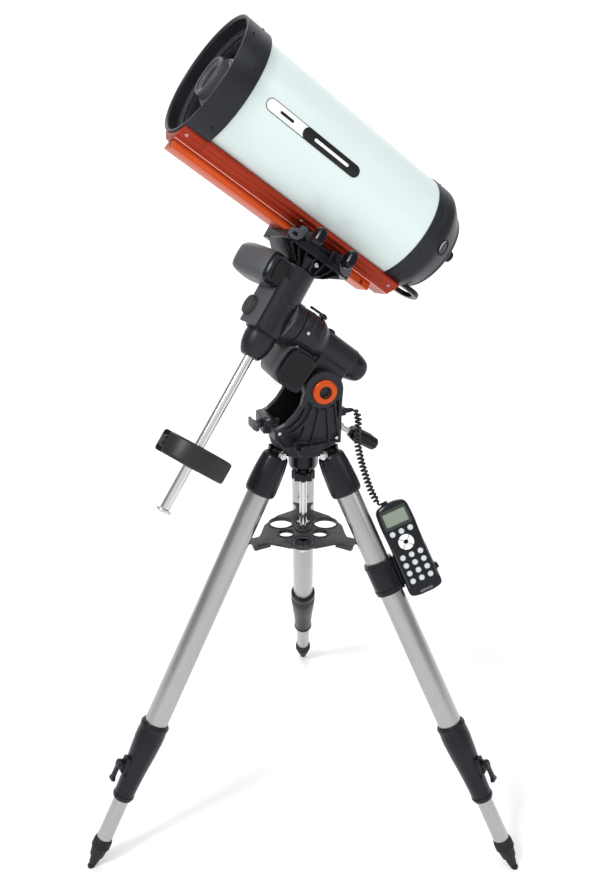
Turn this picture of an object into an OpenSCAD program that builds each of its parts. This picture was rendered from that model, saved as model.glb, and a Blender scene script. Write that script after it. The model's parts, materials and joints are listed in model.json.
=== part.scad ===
// Wide-field catadioptric astrograph on an equatorial mount and a steel tripod.
// Millimetres, +Z up. The origin is on the ground, at the middle of the footprint.

/* [Tripod] */
// Radius of the circle through the three foot tips
foot_circle_r = 534; // [500:1:560]
// Height of the leg pivots
pivot_z = 884; // [850:1:920]
// Outside diameter of the upper leg tubes
leg_d = 50.8; // [44:0.1:52]
// Outside diameter of the lower leg tubes
lower_d = 34; // [28:0.5:36]
// Height of the accessory tray plate
tray_z = 686; // [680:1:700]

/* [Mount] */
// Elevation of the polar axis
latitude = 37; // [30:0.5:45]
// Turn of the polar axis about the vertical, from the left toward the front
azimuth = 21; // [10:0.5:30]
// Turn about the polar axis
ra_turn = 11.5; // [-20:0.5:30]
// Turn about the declination axis
dec_turn = 0; // [-20:0.5:20]
// Distance of the optical axis from the polar axis
tube_reach = 296; // [295:1:305]

/* [Optical tube] */
// Outside diameter of the main tube
tube_d = 230; // [226:1:232]
// Outside diameter of the front cell
front_d = 247; // [242:1:252]
// Front rim ahead of the declination axis
front_x = 351; // [345:1:358]
// Length of the main tube that shows between the cells
tube_len = 445; // [435:1:450]

/* [Counterweight] */
// Diameter of the counterweight
weight_d = 149; // [140:1:156]
// Thickness of the counterweight
weight_t = 45; // [40:1:50]
// Middle of the counterweight below the polar axis
weight_at = 322; // [280:1:370]
// Diameter of the counterweight bar
bar_d = 20; // [18:0.5:22]

/* [Hand control] */
// Length of the hand control
control_l = 208; // [200:1:210]
// Width of the hand control
control_w = 76; // [74:1:80]

/* [Hidden] */
$fn = 96;
round_fn = 48;

// colours
black = [0.09, 0.09, 0.10];
charcoal = [0.17, 0.17, 0.18];
dark_grey = [0.24, 0.24, 0.25];
steel = [0.74, 0.75, 0.76];
bright = [0.86, 0.87, 0.88];
orange = [0.80, 0.24, 0.10];
pale = [0.87, 0.93, 0.92];
key_grey = [0.72, 0.74, 0.75];
glass_tint = [0.55, 0.62, 0.72];

// tripod
stand_y = -133.5;
pivot_r = 62;
head_top = 900;
head_r = 64;
splay = atan((foot_circle_r - pivot_r) / pivot_z);
leg_len = pivot_z / cos(splay);
LEFT = 210;
RIGHT = 330;
REAR = 90;
sleeve_d = 66;
sleeve_end = 94;
tube_start = 24;
collar_start = 640;
collar_end = 828;
upper_end = 700;
foot_start = 930;
leg_wall = 2.4;
lug_t = 20;
lug_r = 9;
pin_d = 10;
rod_d = 16;
rod_bottom = 636;
rod_knob_z = 812;
tray_t = 5;
tray_r = 87;
wing_r = 136;
eyepiece_d = 33.2;
accessory_d = 50.8;

// yoke and polar head, in the frame of the azimuth axis
hub_x = -22;
hub_z = 123;
cheek_in = 47;
cheek_t = 14;
base_r = 72;
axis_up = 72;
cross_x = 161;
polar_r = 46;
running = 0.05;
front_screw_z = 50;
knob_x = 32;
knob_z = 14;
cheek_r = 42;
rear_screw_z = 30;
screw_fall = 32;
gap = 0.5;
shaft_r = 16;

// declination head
dec_r = 38;
dec_top = 100;
dec_foot = -46;
collar_bottom = -97;
bar_end = -438;

// saddle and dovetail
saddle_base_top = 142;
saddle_half = 80;
clamp_z = 150;
foot_w = 44;
foot_bottom = 143;
plate_bottom = 160;
wing = 48;
neck = 21;
channel_w = 60;
foot_channel_w = 24;
tube_r = tube_d / 2;
front_r = front_d / 2;
cell_len = 56;
rear_edge = front_x - cell_len - tube_len;
loop_r = 33;
loop_t = 10;
back_r = 89;

// hand control on the right leg
control_at = 250;
control_side = -70;
control_out = 6;
control_t = 24;
key_rise = 2.5;

module at_stand() { translate([0, stand_y, 0]) children(); }
module at_leg(turn) { at_stand() rotate([0, 0, turn]) children(); }
// +Z runs down the leg from its pivot, -X is its outer side
module along_leg(turn) {
    at_leg(turn) translate([pivot_r, 0, pivot_z]) rotate([0, 180 - splay, 0]) children();
}
// +X points along the ground under the polar axis, +Y to the front of the object
module at_azimuth() { at_stand() translate([0, 0, head_top]) rotate([0, 0, 180 + azimuth]) children(); }
// +X runs up the polar axis
module at_latitude() { at_azimuth() translate([hub_x, 0, hub_z]) rotate([0, -latitude, 0]) children(); }
// origin where the polar and declination axes cross, +Z up the declination axis
module at_ra() { at_latitude() translate([cross_x, 0, axis_up]) rotate([ra_turn, 0, 0]) children(); }
module at_dec() { at_ra() rotate([0, 0, dec_turn]) children(); }
// +Z runs along the optical axis toward the sky, +X toward the saddle
module along_tube() { at_dec() translate([0, 0, tube_reach]) rotate([0, 90, 0]) children(); }
module along_x() { rotate([0, 90, 0]) children(); }
module along_y() { rotate([-90, 0, 0]) children(); }

module ring(r_out, r_in, h) {
    difference() {
        cylinder(r = r_out, h = h);
        translate([0, 0, -1]) cylinder(r = r_in, h = h + 2);
    }
}
module rounded_box(size, r) {
    // box centred on X and Y with vertical edges of radius r
    x = size[0] / 2 - r;
    y = size[1] / 2 - r;
    union() {
        translate([-x, -size[1] / 2, 0]) cube([2 * x, size[1], size[2]]);
        translate([-size[0] / 2, -y, 0]) cube([size[0], 2 * y, size[2]]);
        for (i = [-1, 1]) for (j = [-1, 1]) translate([i * x, j * y, 0]) cylinder(r = r, h = size[2]);
    }
}
module lobed_knob(r, h, lobes, bore) {
    difference() {
        cylinder(r = r, h = h);
        for (i = [0 : lobes - 1]) rotate([0, 0, i * 360 / lobes])
            translate([r * 1.12, 0, -1]) cylinder(r = r * 0.3, h = h + 2, $fn = round_fn);
        if (bore > 0) translate([0, 0, -1]) cylinder(r = bore, h = h + 2);
    }
}

// ---------------------------------------------------------------- tripod
module tripod_head() {
    color(black) at_stand() difference() {
        union() {
            difference() {
                translate([0, 0, head_top - 16]) cylinder(r = head_r, h = 16);
                for (a = [LEFT, RIGHT, REAR]) rotate([0, 0, a])
                    translate([pivot_r, 0, pivot_z]) along_y() cylinder(r = lug_r + 1, h = 58, center = true);
            }
            translate([0, 0, head_top - 56]) cylinder(r = 28, h = 41);
            for (a = [LEFT, RIGHT, REAR]) rotate([0, 0, a])
                for (s = [-1, 1]) translate([pivot_r, s * (lug_t / 2 + 7), pivot_z]) {
                    along_y() cylinder(r = lug_r, h = 10, center = true);
                    translate([-lug_r, -5, 0]) cube([2 * lug_r, 10, head_top - pivot_z - 1]);
                }
        }
        translate([0, 0, head_top - 60]) cylinder(r = rod_d / 2 + running, h = 70);
        for (a = [LEFT, RIGHT, REAR]) rotate([0, 0, a])
            translate([pivot_r, 0, pivot_z]) along_y() cylinder(d = pin_d + 2 * running, h = 60, center = true);
    }
}
module leg_pivot_bolts() {
    color(steel) for (a = [LEFT, RIGHT, REAR]) at_leg(a) translate([pivot_r, 0, pivot_z]) {
        along_y() cylinder(d = pin_d, h = 46, center = true);
        for (s = [-1, 1]) translate([0, s * 24.5, 0]) along_y() cylinder(d = 17, h = 5, center = true, $fn = 6);
    }
}
module centre_rod() {
    color(bright) at_stand() {
        translate([0, 0, rod_bottom]) cylinder(d = rod_d, h = head_top + 10 - rod_bottom);
    }
}
module rod_knob() {
    color(black) at_stand() translate([0, 0, rod_knob_z]) {
        lobed_knob(25, 20, 8, rod_d / 2 + running);
        translate([0, 0, 20]) ring(15, rod_d / 2 + running, 4);
    }
}
module accessory_tray() {
    color(dark_grey) at_stand() translate([0, 0, tray_z]) difference() {
        union() {
            cylinder(r = tray_r, h = tray_t);
            translate([0, 0, -8]) cylinder(r = 17, h = 16);
            for (a = [LEFT, RIGHT, REAR]) rotate([0, 0, a]) {
                linear_extrude(tray_t) polygon([[60, -44], [104, -17], [wing_r - 2, -23], [wing_r - 6, 0],
                                                [wing_r - 2, 23], [104, 17], [60, 44]]);
                for (s = [-1, 1]) translate([88, s * 16 - 2, -8]) cube([wing_r - 94, 4, 9]);
            }
            translate([0, 0, -5]) ring(tray_r, tray_r - 4, 6);
        }
        translate([0, 0, -10]) cylinder(r = rod_d / 2 + running, h = 30);
        for (a = [LEFT, RIGHT, REAR]) {
            rotate([0, 0, a + 60]) translate([56, 0, -9]) cylinder(d = accessory_d, h = 20);
            rotate([0, 0, a]) translate([42, 0, -9]) cylinder(d = eyepiece_d, h = 20);
        }
    }
}
module tray_knob() {
    color(black) at_stand() translate([0, 0, tray_z - 34]) difference() {
        union() {
            translate([0, 0, 4]) lobed_knob(26, 18, 8, 0);
            cylinder(r = 14, h = 25);
        }
        translate([0, 0, rod_bottom - tray_z + 34 - 0.5]) cylinder(d = rod_d + 2 * running, h = 60);
    }
}

module leg_castings(turn) {
    // pivot sleeve at the top of the leg and clamp collar at its lower end
    color(black) along_leg(turn) {
        difference() {
            union() {
                translate([0, 0, 10]) cylinder(d = sleeve_d, h = sleeve_end - 10);
                along_y() cylinder(r = lug_r, h = lug_t, center = true);
                translate([-lug_r, -lug_t / 2, 0]) cube([2 * lug_r, lug_t, 14]);
            }
            translate([0, 0, tube_start]) cylinder(d = leg_d, h = 200);
            along_y() cylinder(d = pin_d + 2 * running, h = 60, center = true);
        }
        difference() {
            union() {
                translate([0, 0, collar_start]) cylinder(d = leg_d + 9, h = 70);
                translate([0, 0, collar_start + 70])
                    cylinder(d1 = leg_d + 9, d2 = lower_d + 10, h = collar_end - collar_start - 70);
                translate([-34, -9, collar_start + 92]) cube([30, 18, 30]);
            }
            translate([0, 0, collar_start - 1]) cylinder(d = leg_d, h = upper_end - collar_start + 1);
            translate([0, 0, upper_end - 1]) cylinder(d = lower_d + 2 * running, h = 400);
            translate([-60, 0, collar_start + 107]) along_x() cylinder(d = 8 + 2 * running, h = 80);
        }
    }
}
module leg_tube(turn) {
    color(steel) along_leg(turn) translate([0, 0, tube_start])
        ring(leg_d / 2, leg_d / 2 - leg_wall, upper_end - tube_start);
}
module lower_tube(turn) {
    color(bright) along_leg(turn) translate([0, 0, 420]) ring(lower_d / 2, lower_d / 2 - 2, foot_start + 10 - 420);
}
module foot(turn) {
    color(black) along_leg(turn) {
        difference() {
            union() {
                translate([0, 0, foot_start]) cylinder(d = lower_d + 5, h = 20);
                translate([0, 0, foot_start + 20]) cylinder(d1 = lower_d + 5, d2 = 30, h = 24);
            }
            translate([0, 0, foot_start - 1]) cylinder(d = lower_d, h = 11);
        }
    }
    color(black) at_leg(turn) {
        translate([foot_circle_r, 0, 0]) cylinder(d = 16, h = 6);
        intersection() {
            translate([foot_circle_r - 60, -30, 3]) cube([120, 60, 60]);
            translate([pivot_r, 0, pivot_z]) rotate([0, 180 - splay, 0])
                translate([0, 0, foot_start + 30]) cylinder(d1 = 24, d2 = 15, h = leg_len - foot_start - 30);
        }
    }
}
module collar_lever(turn) {
    color(black) along_leg(turn) translate([-34.5, 0, collar_start + 107]) rotate([0, -90, 0]) {
        cylinder(r = 11, h = 14);
        translate([-5, -6, 6]) cube([44, 12, 8]);
        translate([0, 0, -12]) cylinder(d = 8, h = 13);
    }
}
module leg_castings_left() { leg_castings(LEFT); }
module leg_castings_right() { leg_castings(RIGHT); }
module leg_castings_rear() { leg_castings(REAR); }
module leg_tube_left() { leg_tube(LEFT); }
module leg_tube_right() { leg_tube(RIGHT); }
module leg_tube_rear() { leg_tube(REAR); }
module lower_tube_left() { lower_tube(LEFT); }
module lower_tube_right() { lower_tube(RIGHT); }
module lower_tube_rear() { lower_tube(REAR); }
module foot_left() { foot(LEFT); }
module foot_right() { foot(RIGHT); }
module foot_rear() { foot(REAR); }
module collar_lever_left() { collar_lever(LEFT); }
module collar_lever_right() { collar_lever(RIGHT); }
module collar_lever_rear() { collar_lever(REAR); }

// ---------------------------------------------------------------- azimuth yoke
module cheek_outline() {
    difference() {
        union() {
            polygon([[-60, 8], [66, 8], [84, 34], [84, 52], [40, 82], [24, 104], [18, 128], [-60, 140]]);
            translate([hub_x, hub_z]) circle(r = cheek_r);
        }
        polygon([[-40, 22], [14, 22], [34, 40], [6, 72], [-40, 72]]);
    }
}
// +Z runs out along the rear latitude screw, down and away from the yoke
module at_rear_screw() { translate([-64, 0, rear_screw_z]) rotate([0, -90 - screw_fall, 0]) children(); }
module azimuth_yoke() {
    color(charcoal) at_azimuth() difference() {
        union() {
            cylinder(r = base_r, h = 14);
            for (s = [-1, 1]) translate([0, s * (cheek_in + cheek_t / 2) + cheek_t / 2, 0]) rotate([90, 0, 0])
                linear_extrude(cheek_t) cheek_outline();
            translate([66, -cheek_in - 2, 30]) cube([18, 2 * cheek_in + 4, 26]);
            translate([84, -20, 34]) cube([10, 40, 34]);
            translate([-64, -cheek_in - 2, 8]) cube([12, 2 * cheek_in + 4, 78]);
            for (s = [-1, 1]) translate([knob_x - 12, s * 68 - 7, 4]) cube([24, 14, 20]);
        }
        translate([0, 0, -1]) cylinder(r = rod_d / 2 + 1, h = 30);
        translate([hub_x, 0, hub_z]) along_y() cylinder(r = 14 + running, h = 200, center = true);
        translate([40, 0, front_screw_z]) along_x() cylinder(d = 12 + 2 * running, h = 150);
        at_rear_screw() translate([0, 0, -60]) cylinder(d = 12 + 2 * running, h = 90);
        translate([knob_x, 0, knob_z]) along_y() cylinder(d = 8 + 2 * running, h = 300, center = true);
    }
}
module azimuth_knobs() {
    color(black) at_azimuth() translate([knob_x, 0, knob_z]) for (s = [-1, 1]) rotate([s * 90, 0, 0]) {
        translate([0, 0, 76]) lobed_knob(14, 24, 6, 0);
        translate([0, 0, 24]) cylinder(d = 8, h = 60);
    }
}
module latitude_hubs() {
    color(orange) at_azimuth() translate([hub_x, 0, hub_z]) for (s = [-1, 1]) rotate([s * 90, 0, 0]) {
        translate([0, 0, cheek_in + cheek_t]) ring(26, 10.5, 6);
        translate([0, 0, cheek_in]) ring(14, 10.5, cheek_t + 1);
    }
}
module latitude_bolt() {
    color(charcoal) at_azimuth() translate([0, 0, front_screw_z]) {
        translate([54, 0, 0]) along_x() cylinder(d = 12, h = 54);
        translate([95, 0, 0]) along_x() cylinder(d = 18, h = 12);
        translate([105, -26, -6]) cube([9, 52, 12]);
    }
}
module latitude_handle() {
    color(black) at_azimuth() at_rear_screw() {
        translate([0, 0, -12]) cylinder(d = 12, h = 66);
        translate([0, 0, 18]) cylinder(d = 19, h = 10);
        translate([0, 0, 52]) rounded_box([28, 44, 66], 7);
    }
}

// ---------------------------------------------------------------- polar head
module polar_housing() {
    color(charcoal) at_latitude() difference() {
        union() {
            translate([58, 0, axis_up]) along_x() cylinder(r = polar_r, h = cross_x - 49.5 - 58);
            translate([46, 0, axis_up]) along_x() cylinder(r1 = 36, r2 = polar_r, h = 12);
            translate([-42, 0, axis_up]) along_x() cylinder(r1 = 33, r2 = 36, h = 88);
            along_y() cylinder(r = 34, h = 2 * cheek_in - 2, center = true);
            translate([-32, -36, 0]) cube([72, 72, axis_up - 20]);
            translate([30, -30, 10]) cube([60, 60, 40]);
            along_y() cylinder(r = 10, h = 2 * (cheek_in + cheek_t), center = true);
        }
        translate([-43, 0, axis_up]) along_x() cylinder(r = shaft_r + running, h = 300);
    }
}
module polar_cap() {
    color(black) at_latitude() translate([-80, 0, axis_up]) along_x() {
        cylinder(r1 = 20, r2 = 28, h = 12);
        translate([0, 0, 12]) cylinder(r1 = 28, r2 = 32, h = 26);
    }
}
module ra_motor_cover() {
    color(dark_grey) at_latitude() difference() {
        translate([75, 6, -36]) rounded_box([64, 104, 82], 14);
        translate([30, -30.3, 9.7]) cube([60.3, 60.6, 60]);
        translate([20, 0, axis_up]) along_x() cylinder(r = polar_r + 0.3, h = 120);
    }
}
module ra_clutch_lever() {
    color(black) at_latitude() translate([66, 0, axis_up + polar_r + 0.4]) {
        cylinder(r = 9, h = 9);
        translate([-4, -5, 3]) cube([34, 10, 6]);
    }
}

// ---------------------------------------------------------------- declination head
module dec_housing() {
    color(charcoal) at_ra() {
        difference() {
            union() {
                translate([0, 0, dec_foot]) cylinder(r = dec_r, h = dec_top - dec_foot);
                translate([-49, 0, 0]) along_x() cylinder(r = 44, h = 49);
                translate([0, -26, dec_foot]) cube([dec_r + 8, 52, 116]);
            }
            translate([0, 0, -40]) cylinder(r = shaft_r + running, h = 200);
            translate([0, 0, -60]) cylinder(d = bar_d, h = 40);
        }
        translate([-cross_x + 2, 0, 0]) along_x() cylinder(r = shaft_r, h = cross_x - 2 - 30);
    }
}
module dec_motor_cover() {
    color(dark_grey) at_ra() difference() {
        translate([69, -3, 66]) rotate([0, 0, 27]) rotate([90, 0, 0]) translate([0, 0, -50])
            rounded_box([60, 66, 104], 28);
        translate([0, 0, dec_foot]) cylinder(r = dec_r + 0.3, h = 200);
        translate([0, -26.3, dec_foot]) cube([dec_r + 8.3, 52.6, 116.3]);
    }
}
module dec_clutch_knob() {
    color(charcoal) at_ra() translate([dec_r + 8.4, 0, -12]) along_x() {
        intersection() {
            cylinder(r = 21, h = 13);
            translate([-21, -15, 0]) cube([42, 30, 13]);
        }
    }
}
module shaft_collar() {
    color(charcoal) at_ra() difference() {
        union() {
            translate([0, 0, -66]) cylinder(r = 30, h = 66 + dec_foot);
            translate([0, 0, -88]) cylinder(r1 = 25, r2 = 30, h = 22);
            translate([0, 0, collar_bottom]) cylinder(r1 = 18, r2 = 25, h = -88 - collar_bottom);
        }
        translate([0, 0, -110]) cylinder(d = bar_d, h = 80);
    }
}
module counterweight_shaft() {
    color(bright) at_ra() translate([0, 0, bar_end]) cylinder(d = bar_d, h = -bar_end - 44);
}
module toe_stop() {
    color(steel) at_ra() {
        translate([0, 0, bar_end - 5]) cylinder(r = 15, h = 5);
        translate([0, 0, bar_end - 7]) cylinder(r = 8, h = 2);
    }
}
module counterweight() {
    bevel = 4;
    color(charcoal) at_ra() translate([0, 0, -weight_at - weight_t / 2]) difference() {
        union() {
            translate([0, 0, bevel]) cylinder(d = weight_d, h = weight_t - 2 * bevel);
            cylinder(d1 = weight_d - 2 * bevel, d2 = weight_d, h = bevel);
            translate([0, 0, weight_t - bevel]) cylinder(d1 = weight_d, d2 = weight_d - 2 * bevel, h = bevel);
        }
        translate([0, 0, -1]) cylinder(d = bar_d + 0.16, h = weight_t + 2);
        translate([weight_d / 2 - 16, -15, -1]) cube([40, 30, weight_t + 2]);
        translate([0, 0, weight_t / 2]) along_x() cylinder(d = 10 + 2 * running, h = 100);
    }
}
module counterweight_knob() {
    color(black) at_ra() translate([0, 0, -weight_at]) along_x() {
        translate([0, 0, weight_d / 2 - 15]) lobed_knob(13, 15, 6, 0);
        translate([0, 0, bar_d / 2 + 0.6]) cylinder(d = 10, h = weight_d / 2 - 15 - bar_d / 2);
    }
}

// ---------------------------------------------------------------- saddle and dovetail
module saddle() {
    color(black) at_dec() difference() {
        union() {
            translate([0, 0, dec_top + gap]) cylinder(r1 = dec_r, r2 = 44, h = 22);
            translate([0, 30, 0]) rotate([90, 0, 0]) linear_extrude(60)
                polygon([[-46, 106], [46, 106], [saddle_half, 128], [-saddle_half, 128]]);
            translate([-saddle_half, -46, 124]) cube([2 * saddle_half, 102, saddle_base_top - 124]);
            translate([-saddle_half, -46, 124]) cube([2 * saddle_half, 19, 35]);
            for (x = [-58, 22]) translate([x, 46, 124]) cube([36, 10, 36]);
            translate([0, 0, -38]) cylinder(r = shaft_r, h = 160);
        }
        translate([-100, 0, foot_bottom - 0.6]) dovetail_foot_shape(200, 0.5);
        for (s = [-1, 1]) translate([s * 40, 30, clamp_z]) along_y() cylinder(d = 8 + 2 * running, h = 60);
    }
}
module dovetail_foot_shape(length, clear) {
    // narrow lower rail with undercut flanks, along +X
    w = foot_w / 2 + clear;
    h = plate_bottom - foot_bottom + 0.6;
    rotate([90, 0, 90]) linear_extrude(length) polygon([[-w, 0], [w, 0], [w - 4, h], [-w + 4, h]]);
}
module saddle_jaw() {
    color(black) at_dec() difference() {
        translate([-62, foot_w / 2 - 4, saddle_base_top + gap])
            cube([124, 18, plate_bottom - saddle_base_top - 1.2]);
        translate([-100, 0, foot_bottom - 0.6]) dovetail_foot_shape(200, 0.5);
    }
}
module saddle_knob(x) {
    color(black) at_dec() translate([x, 0, clamp_z]) rotate([-90, 0, 0]) {
        translate([0, 0, 36.4]) cylinder(d = 8, h = 30);
        translate([0, 0, 56.6]) cylinder(r = 8, h = 32);
        translate([0, 0, 84]) intersection() {
            cylinder(r = 19, h = 28);
            translate([-10, -19, 0]) cube([20, 38, 28]);
        }
    }
}
module saddle_knob_front() { saddle_knob(40); }
module saddle_knob_rear() { saddle_knob(-40); }
module dovetail_bar() {
    color(orange) at_dec() {
        difference() {
            translate([-192, 0, 0]) rotate([90, 0, 90]) linear_extrude(540) polygon([
                [-neck, plate_bottom], [neck, plate_bottom], [wing, 178], [wing, 196], [-wing, 196], [-wing, 178]]);
            translate([0, 0, tube_reach]) along_x() cylinder(r = tube_r + 2, h = 1000, center = true);
            translate([front_x - cell_len, 0, tube_reach]) along_x() cylinder(r = front_r, h = 100);
            translate([-172, -channel_w / 2, 168]) cube([500, channel_w, 40]);
            translate([-130, -foot_channel_w / 2, 150]) cube([450, foot_channel_w, 40]);
        }
        difference() {
            translate([-148, 0, foot_bottom]) dovetail_foot_shape(490, 0);
            translate([-130, -foot_channel_w / 2, 148]) cube([450, foot_channel_w, 40]);
        }
    }
}

// ---------------------------------------------------------------- optical tube
module front_cell() {
    color(charcoal) along_tube() difference() {
        union() {
            translate([0, 0, front_x - cell_len]) cylinder(r = front_r, h = cell_len);
        }
        translate([0, 0, front_x - 60]) cylinder(r = tube_r - 11, h = 80);
        translate([0, 0, front_x - 57]) cylinder(r = tube_r, h = 21);
        translate([0, 0, front_x - 26]) cylinder(r = front_r - 7, h = 40);
    }
}
module corrector_plate() {
    color(glass_tint) along_tube() translate([0, 0, front_x - 36]) ring(front_r - 20, 46, 6);
}
module lens_barrel() {
    color(black) along_tube() difference() {
        union() {
            translate([0, 0, front_x - 108]) cylinder(r = 46, h = 88);
            translate([0, 0, front_x - 30]) cylinder(r = 52, h = 6);
            translate([0, 0, front_x - 22]) cylinder(r = 40, h = 14);
        }
        translate([0, 0, front_x - 120]) cylinder(r = 24, h = 200);
        translate([0, 0, front_x - 20]) cylinder(r = 21 + 6, h = 40);
    }
}
module lens_glass() {
    color(glass_tint) along_tube() {
        translate([0, 0, front_x - 40]) cylinder(r = 24, h = 8);
        translate([0, 0, front_x - 104]) cylinder(r = 24, h = 8);
    }
}
module optical_tube() {
    color(pale) along_tube() translate([0, 0, rear_edge - 18]) ring(tube_r, tube_r - 2, tube_len + 38);
}
module rear_cell() {
    color(charcoal) along_tube() difference() {
        union() {
            translate([0, 0, rear_edge - 44]) cylinder(r = tube_r + 2, h = 44);
            translate([0, 0, rear_edge - 82]) cylinder(r1 = back_r, r2 = tube_r + 2, h = 38);
            translate([0, 0, rear_edge - 90]) cylinder(r = back_r, h = 8);
        }
        translate([0, 0, rear_edge - 19]) cylinder(r = tube_r, h = 30);
        translate([0, 0, rear_edge - 42]) cylinder(r = tube_r - 4, h = 60);
        translate([0, 0, rear_edge - 81]) cylinder(r1 = back_r - 6, r2 = tube_r - 4, h = 39.5);
        translate([0, 46, rear_edge - 100]) cylinder(d = 8 + 2 * running, h = 60);
    }
}
module primary_mirror() {
    color(bright) along_tube() translate([0, 0, rear_edge - 30]) ring(101, 20, 22);
}
module focus_knob() {
    color(black) along_tube() translate([0, 46, 0]) {
        translate([0, 0, rear_edge - 118]) cylinder(r = 12, h = 27.4);
        translate([0, 0, rear_edge - 92]) cylinder(d = 8, h = 44);
    }
}
module rear_handle() {
    // flat loop carried on from the lower edge of the rear cell
    color(black) along_tube() translate([95, 0, rear_edge - 86]) rotate([0, 90, 0]) difference() {
        union() {
            cylinder(r = loop_r, h = loop_t);
            translate([-40, -loop_r, 0]) cube([40, 2 * loop_r, loop_t]);
        }
        translate([0, 0, -1]) cylinder(r = loop_r - 13, h = loop_t + 2);
        translate([-24, 13 - loop_r, -1]) cube([24, 2 * loop_r - 26, loop_t + 2]);
    }
}

// ---------------------------------------------------------------- hand control
// +Z runs up the hand control, +Y out of its face
module at_control() {
    along_leg(RIGHT) translate([0, 0, control_at]) rotate([0, 180, 0]) rotate([0, 0, -143])
        translate([control_side, control_out, 0]) children();
}
function rows(list, z) = [for (x = list) [x, z]];
key_rows = [-14, -32, -50, -68];
key_columns = [-20, 0, 20];
function_z = 40;
arrow_z = 15;
display_z = 56;
face_y = control_t / 2;
module control_holder() {
    color(black) along_leg(RIGHT) translate([0, 0, control_at]) ring(leg_d / 2 + 6, leg_d / 2, 72);
    color(black) at_control() {
        translate([-38, -face_y - 10, -74]) cube([82, 9.8, 66]);
        translate([38.3, -face_y - 1, -74]) cube([5.7, face_y + 7, 66]);
    }
}
module control_shell() {
    color(black) at_control() difference() {
        translate([0, face_y, 0]) rotate([90, 0, 0]) rounded_box([control_w, control_l, control_t], 16);
        translate([-25, face_y - 3, display_z]) cube([50, 4, 30]);
        for (x = key_columns) translate([x, face_y - 6, function_z]) along_y() cylinder(d = 13, h = 10);
        translate([0, face_y - 6, arrow_z]) along_y() cylinder(d = 35, h = 10);
        for (x = key_columns) for (z = key_rows) translate([x, face_y - 6, z]) along_y() cylinder(d = 13, h = 10);
        translate([-14, -20, -98]) cube([28, 40, 5]);
    }
}
module control_display() {
    color([0.42, 0.47, 0.38]) at_control() translate([-25, face_y - 3, display_z]) cube([50, 2, 30]);
}
module round_keys(points) {
    for (p = points) translate([p[0], face_y - 4.5, p[1]]) along_y() cylinder(d = 12, h = 4.5 + key_rise);
}
module function_keys() { color(key_grey) at_control() round_keys(rows(key_columns, function_z)); }
module arrow_keys() {
    color(key_grey) at_control() translate([0, face_y - 4.5, arrow_z]) along_y() difference() {
        cylinder(r = 17, h = 4.5 + key_rise);
        translate([0, 0, -1]) cylinder(r = 4, h = 20);
        for (a = [45, 135]) rotate([0, 0, a]) translate([-20, -0.7, -1]) cube([40, 1.4, 20]);
    }
}
module number_keys() { color(key_grey) at_control() for (z = key_rows) round_keys(rows(key_columns, z)); }

// ---------------------------------------------------------------- hand control cord
coil_d = 15;
cord_sides = 10;
cord_steps = 5;
// centre line above the foot of the tripod's own axis: plug, slack beside the yoke, hand control
cord_route = [[102, 3, 966], [111, 2, 959], [114, -6, 940], [112, -17, 908], [119, -26, 870], [131, -39, 832],
              [144, -50, 799], [158, -56, 776]];
function mid(p, i, t) = let (
    a = p[max(i - 1, 0)], b = p[i], c = p[i + 1], d = p[min(i + 2, len(p) - 1)]
) 0.5 * (2 * b + (c - a) * t + (2 * a - 5 * b + 4 * c - d) * t * t + (3 * b - a - 3 * c + d) * t * t * t);
function smooth(p) = concat([for (i = [0 : len(p) - 2]) for (k = [0 : cord_steps - 1]) mid(p, i, k / cord_steps)],
                            [p[len(p) - 1]]);
function unit(v) = v / norm(v);
function heading(p, i) = unit(p[min(i + 1, len(p) - 1)] - p[max(i - 1, 0)]);
function side_of(t) = unit(cross(t, [0.2, 1, 0.1]));
module swept_tube(route, r) {
    p = smooth(route);
    n = len(p);
    points = [for (i = [0 : n - 1]) let (t = heading(p, i), u = side_of(t), v = cross(t, u))
        for (k = [0 : cord_sides - 1]) p[i] + r * (cos(k * 360 / cord_sides) * u + sin(k * 360 / cord_sides) * v)];
    sides = [for (i = [0 : n - 2]) for (k = [0 : cord_sides - 1])
        let (a = i * cord_sides, k2 = (k + 1) % cord_sides) [a + k, a + cord_sides + k, a + cord_sides + k2, a + k2]];
    polyhedron(points, concat([[for (k = [0 : cord_sides - 1]) k]], sides,
        [[for (k = [0 : cord_sides - 1]) (n - 1) * cord_sides + (cord_sides - 1 - k)]]), convexity = 6);
}
module control_cord() {
    color(black) at_stand() swept_tube(cord_route, coil_d / 2);
}
module control_plug() {
    color(black) at_azimuth() translate([-64, 34, 66]) rotate([0, -90, 0]) {
        rounded_box([16, 18, 16], 3);
        translate([0, 0, 16]) cylinder(r = 6, h = 16);
    }
}

tripod_head();
leg_pivot_bolts();
centre_rod();
rod_knob();
accessory_tray();
tray_knob();
leg_castings_left();
leg_castings_right();
leg_castings_rear();
leg_tube_left();
leg_tube_right();
leg_tube_rear();
lower_tube_left();
lower_tube_right();
lower_tube_rear();
foot_left();
foot_right();
foot_rear();
collar_lever_left();
collar_lever_right();
collar_lever_rear();
control_holder();
control_shell();
control_display();
function_keys();
arrow_keys();
number_keys();
control_cord();
control_plug();
azimuth_yoke();
azimuth_knobs();
latitude_hubs();
latitude_bolt();
latitude_handle();
polar_housing();
polar_cap();
ra_motor_cover();
ra_clutch_lever();
dec_housing();
dec_motor_cover();
dec_clutch_knob();
shaft_collar();
counterweight_shaft();
toe_stop();
counterweight();
counterweight_knob();
saddle();
saddle_jaw();
saddle_knob_front();
saddle_knob_rear();
dovetail_bar();
front_cell();
corrector_plate();
lens_barrel();
lens_glass();
optical_tube();
rear_cell();
primary_mirror();
focus_knob();
rear_handle();
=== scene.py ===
import json
import math
import bmesh
import bpy
import numpy as np
from mathutils import Matrix, Vector


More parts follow.
